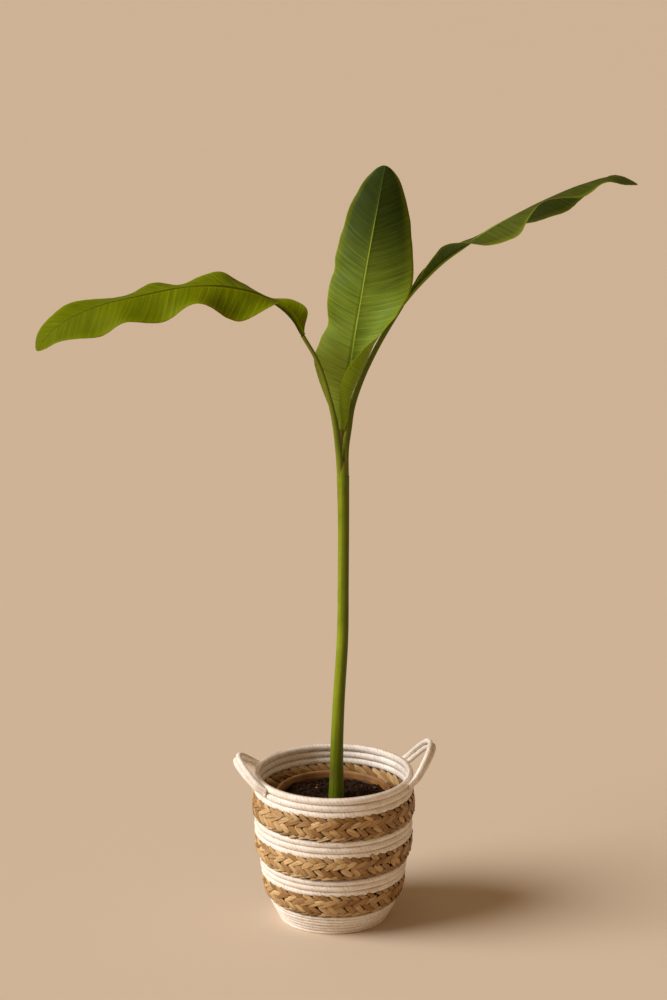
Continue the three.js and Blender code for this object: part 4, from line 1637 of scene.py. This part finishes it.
@dataclass
class Stalk:
    """A leaf stalk that grows out of the fork and carries a blade."""

    shape: StalkShape
    blade: BladeShape
    fork: tuple[float, float] = (0.0175, 0.0)
    sheath_radius: float = 0.0107
    parting: float = 0.00024
    sheath_share: float = 0.3
    depth_ease: tuple[float, float] = (0.3, 0.9)
    channel_level: float = 0.62
    channel_dip: float = 0.22
    channel_opens: tuple[float, float] = (0.1, 0.6)
    level_share: float = 0.05
    seat_from: float = 0.82
    arc_points: int = 33
    map_radius: float = 0.006
    steps: int = 150
    sides: int = 48

    def slice_outline(self) -> tuple[Array, Array]:
        """The slice of the fork's circle that the stalk starts from.

        Returns:
            Its corners in order, from the apex, and its centroid.
        """
        start, end = np.radians(self.shape.sector)
        half = (end - start) / 2
        middle = on_circle((start + end) / 2)
        apex = np.array(self.fork) + middle * self.parting
        angle = np.linspace(start, end, self.arc_points)
        arc = apex + self.sheath_radius * on_circle(angle)
        centroid = apex + middle * 2 * self.sheath_radius * math.sin(half) / (3 * half)
        return np.concatenate([apex[None], arc]), centroid

    @staticmethod
    def reach_inside(outline: Array, origin: Array, rays: Array) -> Array:
        """How far rays from inside a convex outline run before they leave it.

        Args:
            outline: corners in order.
            origin: a place inside.
            rays: unit directions, one a row.

        Returns:
            The least positive crossing of each ray with the outline's edges.
        """
        edge = np.roll(outline, -1, axis=0) - outline
        facing = rays[..., None, 0] * edge[:, 1] - rays[..., None, 1] * edge[:, 0]
        gap = (outline[:, 0] - origin[0]) * edge[:, 1] - (outline[:, 1] - origin[1]) * edge[:, 0]
        with np.errstate(divide="ignore", invalid="ignore"):
            reach = np.where(np.abs(facing) > TINY, gap / facing, np.inf)
        return np.where(reach > 0, reach, np.inf).min(axis=-1)

    def build(self, finish: bpy.types.Material) -> None:
        """Makes the stalk.

        Its section eases from the slice of the fork, which lies level, to a rounded bar whose
        upper side is a channel, and its frame eases into the blade's own at the end.

        Args:
            finish: the stalks' material.
        """
        outline, centroid = self.slice_outline()
        fork_top = box_heights(self.shape.node)[0]
        along, up, _ = self.blade.midrib().frames(np.array([0.0]), np.array(self.blade.faces))
        end = self.blade.midrib().at(np.array([0.0]))[0] - along[0] * CLEARANCE
        line = Line(np.array([[*centroid, fork_top], *(np.array(self.shape.line) * MM), end]))
        share = np.linspace(0, 1, self.steps + 1)
        towards = unit(np.array(self.shape.channel_towards, float))
        seat = smoothstep(self.seat_from, 1.0, share)[:, None]
        faces = towards * (1 - seat) + up[0] * seat
        _, upper, side = line.frames(share, faces)
        kept = 1 - (1 - smoothstep(0, self.level_share, share)[:, None]) * np.array([0, 0, 1])
        upper, side = unit(upper * kept), unit(side * kept)
        turn = np.linspace(0, TURN, self.sides + 1)
        cos, sin = np.cos(turn), np.sin(turn)
        sunk = np.where(sin > 0, 1 - self.channel_level + self.channel_dip * np.clip(sin, 0, 1) ** 3, 0)
        channel = 1 - smoothstep(*self.channel_opens, share)[:, None] * sunk
        low_depth, end_depth = self.shape.depths
        depth = low_depth + (end_depth - low_depth) * smoothstep(*self.depth_ease, share)[:, None]
        width = self.shape.width * MM
        bar = paired(cos * width / 2, sin * channel * depth * MM / 2)
        rays = side[:, None, :2] * cos[None, :, None] + upper[:, None, :2] * sin[None, :, None]
        sheath = self.reach_inside(outline, centroid, unit(rays))[..., None] * on_circle(turn)
        rounding = smoothstep(0, self.sheath_share, share)[:, None, None]
        section = sheath * (1 - rounding) + bar * rounding
        points = (line.at(share)[:, None] + side[:, None] * section[..., :1]
                  + upper[:, None] * section[..., 1:])
        early = 1 - smoothstep(0.05, 0.4, share)[:, None]
        margin = np.exp(-((section[..., 0] / (width / 2)) ** 2 - 1) ** 2 / 0.02) * (sin > -0.2)
        mark = np.clip(margin * 0.25 + early * (sin > 0.3) * 0.3, 0, 1)
        outward = side[:, None] * cos[:, None] + upper[:, None] * sin[:, None]
        dry = self.shape.dry * smoothstep(0.3, 0.75, share)[:, None]
        # far is painted shade on the side of the stalk turned away from the window.
        carried = {"line": mark[:, :-1] * 0.6, "far": facing_away(outward)[:, :-1],
                   "scar": dry * 0.8, "dry": dry * 0.6}
        flat = paired(share[:, None] * line.length, turn * self.map_radius)
        skin = capped(points[:, :-1], flat, carried)
        make_piece(f"channelled_{self.shape.node}", skin, finish, self.shape.node)


# ------------------------------------------------------------------ blades


@dataclass
class Blade:
    """A thin leaf blade: two halves bend away from a midrib that stands out below."""

    shape: BladeShape
    seed: int
    stations: int = 250
    section_steps: int = 56
    thickness: float = 0.0009
    tip_start: float = 0.5
    tip_cut: float = 0.9994
    crowding: float = 0.35
    keel_base: float = 0.0050
    keel_tip: float = 0.0004
    rib_columns: tuple[float, ...] = (0.3, 0.55, 0.75, 0.9, 1.0, 1.12)
    blade_columns: int = 20
    pleat_pitch: float = 0.019
    pleat_depth: float = 0.16 * MM
    margin_ripple: float = 1.1 * MM
    vein_lean: float = 0.2
    vein_tip_lean: float = 0.65
    vein_sweep: float = 1.5
    vein_stagger: float = 0.37
    edge_thinning: float = 0.45
    channel_base: float = 1.5 * MM
    channel_tip: float = 0.15 * MM
    shoulder: float = 0.35 * MM

    def shares(self) -> Array:
        """Places along the rib, closer together towards the tip."""
        even = np.linspace(0, 1, self.stations + 1)
        return self.tip_cut * even * (1 + self.crowding * (1 - even))

    def rib_half_width(self, share: Array) -> Array:
        """Half the midrib's width: it tapers from the stalk's to under a millimetre."""
        return (self.shape.rib_half_width - 0.5 * MM) * (1 - share) ** 0.95 + 0.5 * MM

    def half(self, keys: tuple[HalfKey, ...], share: Array) -> dict[str, Array]:
        """Places across one half, from the rib to the edge.

        The half's slope eases from its angle at the rib to its angle at the edge, and its
        outline is the sum of short steps along that slope. The half width narrows past the
        middle as one less the square of the way to the tip, to the tip's power.

        Args:
            keys: the half's widths and slopes along the rib.
            share: stations along the rib.

        Returns:
            Distance from the rib along the surface, place across, height and slope, stations
            by columns, and the half widths of the blade and its rib at each station.
        """
        table = np.array(keys, float)
        width, root, edge = (smooth_through(table[:, 0], table[:, k], share) for k in (1, 2, 3))
        past = np.clip((share - self.tip_start) / (1 - self.tip_start), 0, 1)
        width = width * MM * (1 - past ** 2) ** self.shape.tip_power
        middle = (np.arange(self.section_steps) + 0.5) / self.section_steps
        slope = np.radians(root[:, None] + (edge - root)[:, None] * smoothstep(0, 1, middle))
        step = width[:, None] / self.section_steps
        zero = np.zeros((len(share), 1))
        across = np.concatenate([zero, np.cumsum(np.cos(slope) * step, axis=1)], axis=1)
        high = np.concatenate([zero, np.cumsum(np.sin(slope) * step, axis=1)], axis=1)
        node_slope = np.concatenate([slope[:, :1], (slope[:, 1:] + slope[:, :-1]) / 2, slope[:, -1:]], 1)
        rib = np.minimum(self.rib_half_width(share), width * 0.5)[:, None]
        near = rib * np.array(self.rib_columns)
        rest = np.linspace(0, 1, self.blade_columns + 1)[1:] ** 0.92
        far = near[:, -1:] + (width[:, None] - near[:, -1:]) * rest
        distance = np.concatenate([zero, near, far], axis=1)
        where = np.clip(distance / np.maximum(width[:, None], TINY), 0, 1) * self.section_steps
        before = np.clip(where.astype(int), 0, self.section_steps - 1)
        part = where - before
        picked = {name: np.take_along_axis(grid, before, 1) * (1 - part)
                  + np.take_along_axis(grid, before + 1, 1) * part
                  for name, grid in (("across", across), ("high", high), ("slope", node_slope))}
        return {"distance": distance, "width": width[:, None], "rib": rib, **picked}

    def build(self) -> None:
        """Makes the blade.

        Upper and lower sides stand half the thickness off the middle surface, along its slope.
        Low pleats follow the side veins, which lean and sweep towards the tip, and the margin
        ripples. The lower side adds the midrib's rounded keel and the upper side its channel,
        between two low shoulders.
        """
        share = self.shares()
        midrib = self.shape.midrib()
        _, up, side = midrib.frames(share, np.array(self.shape.faces))
        origin = midrib.at(share)
        right, left = (self.half(keys, share) for keys in (self.shape.right, self.shape.left))
        join = {key: np.concatenate([left[key][:, :0:-1], right[key]], axis=1)
                for key in ("distance", "across", "high", "slope")}
        columns = right["distance"].shape[1]
        hand = np.concatenate([-np.ones(columns - 1), np.ones(columns)])[None, :]
        width, rib = (np.where(hand < 0, left[key], right[key]) for key in ("width", "rib"))
        distance = join["distance"]
        outness = np.clip(distance / np.maximum(width, TINY), 0, 1)
        over_rib = np.clip(distance / np.maximum(rib, TINY), 0, 3)
        run = share[:, None] * midrib.length
        forward = self.vein_lean + self.vein_tip_lean * share[:, None] ** 3
        vein = run - distance * forward - distance ** 2 * self.vein_sweep + hand * self.vein_stagger
        ripple = Ripple(self.seed, (0.035, 0.09), 10, axes=2)(paired(run + hand * 3, hand))
        uneven = Ripple(self.seed + 1, (0.05, 0.12), axes=1)(vein[..., None])
        pleat = np.sin(vein * TURN / self.pleat_pitch + uneven)
        lamina = smoothstep(1.0, 2.2, over_rib)
        fade = smoothstep(0, 0.05, share[:, None]) * (1 - smoothstep(0.96, 1.0, share[:, None]))
        bend = (ripple * self.margin_ripple * outness ** 2 + pleat * self.pleat_depth) * lamina * fade
        over = np.clip(1 - over_rib ** 2, 0, 1)
        keel = ((self.keel_base - self.keel_tip) * (1 - share) ** 1.3 + self.keel_tip)[:, None]
        keel = np.minimum(keel, rib * 1.5)
        thin = self.thickness / 2 * (1 - self.edge_thinning * outness)
        channel = self.channel_base * (1 - share[:, None]) + self.channel_tip
        channel = channel * np.minimum(rib / MM, 1)
        upper = thin + bend - channel * over + self.shoulder * bell(over_rib - 1, 0.3) * fade
        lower = -thin + bend - keel * np.sqrt(over)
        sides = []
        for level in (upper, lower):
            sideways = hand * (join["across"] - np.sin(join["slope"]) * level)
            rise = join["high"] + np.cos(join["slope"]) * level
            sides.append(origin[:, None] + side[:, None] * sideways[..., None]
                         + up[:, None] * rise[..., None])
        rings = np.concatenate([sides[0], sides[1][:, ::-1]], axis=1)
        beside = bell(over_rib * hand + 1.25, 0.28) * 0.8 * (1 - share[:, None])
        nothing = np.zeros_like(outness)
        carried = {"edge": self.mirrored(outness), "rib": self.mirrored(np.exp(-(over_rib / 0.9) ** 4)),
                   "under": np.concatenate([nothing, nothing + 1], axis=1),
                   "furrow": np.concatenate([beside, nothing], axis=1), "tip": share[:, None]}
        flat = paired(self.mirrored(vein), self.mirrored(distance * hand))
        flat = np.concatenate([flat, flat[:, :1]], axis=1)
        skin = self.closed(rings, flat, carried)
        name = f"veined_{self.shape.node}"
        make_piece(name, skin, self.shape.finish.make(), self.shape.node)

    @staticmethod
    def mirrored(values: Array) -> Array:
        """Values over the upper side, then the same ones back over the lower side."""
        return np.concatenate([values, values[:, ::-1]], axis=1)

    @staticmethod
    def closed(rings: Array, flat: Array, carried: dict[str, Array]) -> Skin:
        """Skin round thin rings, with each end closed by a strip of quads from side to side.

        Args:
            rings: a ring of points at each station, over the upper side and back under it.
            flat: flat map of the grid, with one column more than the rings have.
            carried: numbers for each point.

        Returns:
            The closed surface, facing outwards.
        """
        skin = lattice(rings, flat, around=True, carried=carried)
        stations, count = rings.shape[:2]
        step = np.arange(count // 2 - 1)
        strip = np.stack([step, step + 1, count - 2 - step, count - 1 - step], axis=-1)
        last = (stations - 1) * count
        ends = np.concatenate([strip[:, ::-1], strip + last])
        flat_points = flat[:, :-1].reshape(-1, 2)
        skin.quads = np.concatenate([skin.quads, ends])
        skin.quad_map = np.concatenate([skin.quad_map, flat_points[ends]])
        return skin.outward()


LEFT_BLADE = BladeShape(
    "blade_left", (0, 0, 1), 0.58, 5.2 * MM,
    rib=((-55, -27, 1144), (-89, -34, 1194), (-120, -40, 1217), (-190, -52, 1240),
         (-265, -64, 1242), (-350, -78, 1229), (-440, -92, 1207), (-502, -100, 1172),
         (-533, -104, 1135)),
    right=((0, 6, 40, 40), (0.05, 34, 62, 68), (0.09, 42, 34, 30), (0.13, 47, 4, 0),
           (0.18, 58, -8, -8), (0.26, 66, 0, 0), (0.33, 70, 7, 12), (0.38, 70, 2, 4),
           (0.45, 70, -8, -10), (0.57, 70, -2, 1), (0.65, 70, -8, -12), (0.75, 74, -4, -2),
           (0.83, 76, 8, 15), (0.89, 76, 16, 20), (0.95, 82, 24, 28), (1, 84, 25, 25)),
    left=((0, 6, 40, 40), (0.07, 11, 55, 55), (0.13, 17, 30, 30), (0.18, 42, -14, -16),
          (0.26, 70, -36, -50), (0.32, 71, -34, -46), (0.425, 66, -11, -12),
          (0.56, 70, -33, -43), (0.68, 72, -22, -25), (0.79, 82, -34, -42), (0.87, 76, -28, -32),
          (0.95, 74, -20, -20), (1, 74, -14, -14)),
    # The rib colour here is painted shade of the midrib's channel; the furrow colour is a pale line beside
    # it.
    finish=BladeFinish(
        "left_blade_skin", deep=srgb(84, 98, 0), fresh=srgb(126, 138, 0), pale=srgb(158, 166, 8),
        rib=srgb(74, 82, 0), furrow=srgb(158, 158, 14), tip=srgb(92, 104, 0),
        glow=srgb(160, 172, 0), glow_share=0.22, base_painted_light=0.0, tip_shade=0.45,
        vein_pitch=12 * MM, gloss=0.05))

RIGHT_BLADE = BladeShape(
    "blade_right", (0, 0, 1), 0.7, 6.0 * MM,
    rib=((124, 54, 1180), (153, 60, 1212), (200, 66, 1257), (245, 70, 1290), (284, 73, 1317),
         (323, 77, 1339), (381, 83, 1367), (459, 92, 1398), (507, 97, 1408), (555, 103, 1393)),
    right=((0, 6, 30, 30), (0.06, 13, 50, 50), (0.14, 18, 48, 48), (0.2, 32, 50, 50),
           (0.25, 49, 44, 44), (0.31, 55, 24, 28), (0.38, 62, -6, -8), (0.45, 66, -12, -16),
           (0.51, 68, -12, -18), (0.56, 66, 0, 0), (0.62, 66, 12, 16), (0.7, 66, 4, 4),
           (0.8, 70, -6, -10), (0.87, 76, 0, 0), (0.94, 76, -8, -8), (1, 76, -8, -8)),
    left=((0, 6, 30, 30), (0.1, 20, 15, 15), (0.2, 36, 5, 5), (0.35, 58, -8, -12),
          (0.5, 68, -25, -30), (0.62, 70, -40, -48), (0.72, 72, -44, -54), (0.82, 74, -32, -38),
          (0.9, 75, -9, -12), (0.95, 77, 3, 4), (1, 78, 6, 8)),
    finish=BladeFinish(
        "right_blade_skin", deep=srgb(56, 66, 6), fresh=srgb(84, 92, 20), pale=srgb(104, 118, 44),
        rib=srgb(136, 156, 40), under=srgb(58, 84, 0), base=srgb(92, 108, 0), tip=srgb(52, 60, 4),
        glow=srgb(90, 124, 0), glow_share=0.16, base_painted_light=0.3, tip_shade=0.3, gloss=0.12))

CENTRE_BLADE = BladeShape(
    "blade_centre", (0, -1, 0), 0.58, 3.5 * MM,
    rib=((15, 10.6, 956), (20, 13.4, 1015), (29, 19, 1075), (54, 42, 1223), (76, 69, 1340),
         (94, 92, 1431)),
    right=((0, 22, 20, 235), (0.03, 34, 16, 245), (0.07, 41, 20, 232), (0.14, 50, 24, 214),
           (0.22, 70, 12, 196), (0.29, 80, 4, 156), (0.36, 84, 4, 118), (0.43, 83, 8, 74),
           (0.49, 81, 9, 34), (0.54, 87, 7, 8), (0.6, 91, 4, -4), (0.7, 89, 0, -12),
           (0.8, 88, -3, -18), (1, 90, -5, -20)),
    left=((0, 6, 0, 0), (0.06, 21, -10, 0), (0.12, 38, -10, -10), (0.18, 54, -10, -10),
          (0.24, 66, -10, -10), (0.31, 67, -16, -40), (0.39, 61, -20, -48), (0.47, 62, -10, -28),
          (0.58, 66, -20, -40), (0.75, 72, -15, -40), (1, 74, -10, -20)),
    finish=BladeFinish("centre_blade_skin"))

STALKS = (
    (StalkShape("petiole_left", (150, 290), 10.4, (13.6, 10.4), (0.6, 0, 1),
                ((9.2, -6.2, 924), (6.4, -8.6, 955), (-5.2, -14, 1018), (-31, -22, 1100))),
     LEFT_BLADE),
    (StalkShape("petiole_right", (-70, 60), 12, (14.4, 12), (-0.6, 0, 1),
                ((22.8, 5.4, 924), (26.6, 13.4, 955), (32, 20, 992), (48.5, 29, 1042), (75, 38, 1098))),
     RIGHT_BLADE),
    (StalkShape("petiole_centre", (60, 150), 10, (7, 7), (0, -1, 0), ((13.4, 11.2, 924),), dry=0.55),
     CENTRE_BLADE))


# ------------------------------------------------------------------ setting


@dataclass(frozen=True)
class SoftSun:
    """Even light from one side, as from a large far window. Turn, height and softness are degrees."""

    name: str = "window"
    turn: float = 193.5
    height: float = 38.0
    softness: float = 38.0
    strength: float = 3.3
    colour: Triple = (1.0, 0.985, 0.97)

    def build(self) -> bpy.types.Object:
        """Makes the light, which shines from its turn round the plant and its height.

        Returns:
            The light's object.
        """
        light = bpy.data.lights.new(self.name, "SUN")
        light.energy, light.color, light.angle = self.strength, self.colour, math.radians(self.softness)
        holder = bpy.data.objects.new(self.name, light)
        height = math.radians(self.height)
        source = round_axis(math.cos(height), math.radians(self.turn), math.sin(height))
        holder.rotation_euler = Vector(source).to_track_quat("Z", "Y").to_euler()
        return holder


@dataclass
class Studio:
    """Plain pale floor, soft light and the camera."""

    camera_place: Triple = (0.0, -7.037, 3.002)
    camera_dip: float = 17.21
    lens: float = 144.0
    sensor: float = 36.0
    floor_half: float = 120.0
    sight: float = 400.0
    sky: Colour = (1.0, 0.66, 0.365, 1.0)
    sky_strength: float = 0.29
    window: SoftSun = SoftSun()

    def build(self) -> None:
        """Makes the camera, the window's light, the sky and the floor."""
        scene = bpy.context.scene
        camera = bpy.data.objects.new("camera", bpy.data.cameras.new("camera"))
        camera.data.lens, camera.data.sensor_width = self.lens, self.sensor
        camera.data.clip_end = self.sight
        camera.location = self.camera_place
        camera.rotation_euler = (math.radians(90 - self.camera_dip), 0, 0)
        scene.collection.objects.link(camera)
        scene.camera = camera
        scene.view_settings.view_transform = "Standard"
        scene.collection.objects.link(self.window.build())
        world = bpy.data.worlds.new("soft_sky")
        scene.world = world
        world.use_nodes = True
        background = world.node_tree.nodes["Background"]
        background.inputs["Color"].default_value = self.sky
        background.inputs["Strength"].default_value = self.sky_strength
        half = self.floor_half
        mesh = bpy.data.meshes.new("floor")
        corners = [(-half, -half, 0), (half, -half, 0), (half, half, 0), (-half, half, 0)]
        mesh.from_pydata(corners, [], [(0, 1, 2, 3)])
        mesh.materials.append(FloorFinish().make())
        floor = bpy.data.objects.new("floor", mesh)
        scene.collection.objects.link(floor)


def main() -> None:
    """Builds the object from the floor up."""
    logging.basicConfig(level=logging.INFO, format="%(name)s: %(message)s")
    Studio().build()
    Basket().build()
    pot = NurseryPot()
    pot.build()
    Compost(pot).build()
    Stem().build()
    stalk_finish = StemFinish("stalk_skin", light=srgb(146, 160, 42), deep=srgb(92, 108, 12)).make()
    for stalk, blade in STALKS:
        Stalk(stalk, blade).build(stalk_finish)
    for number, (_, blade) in enumerate(STALKS):
        Blade(blade, 61 + 5 * number).build()


if __name__ == "__main__":
    main()
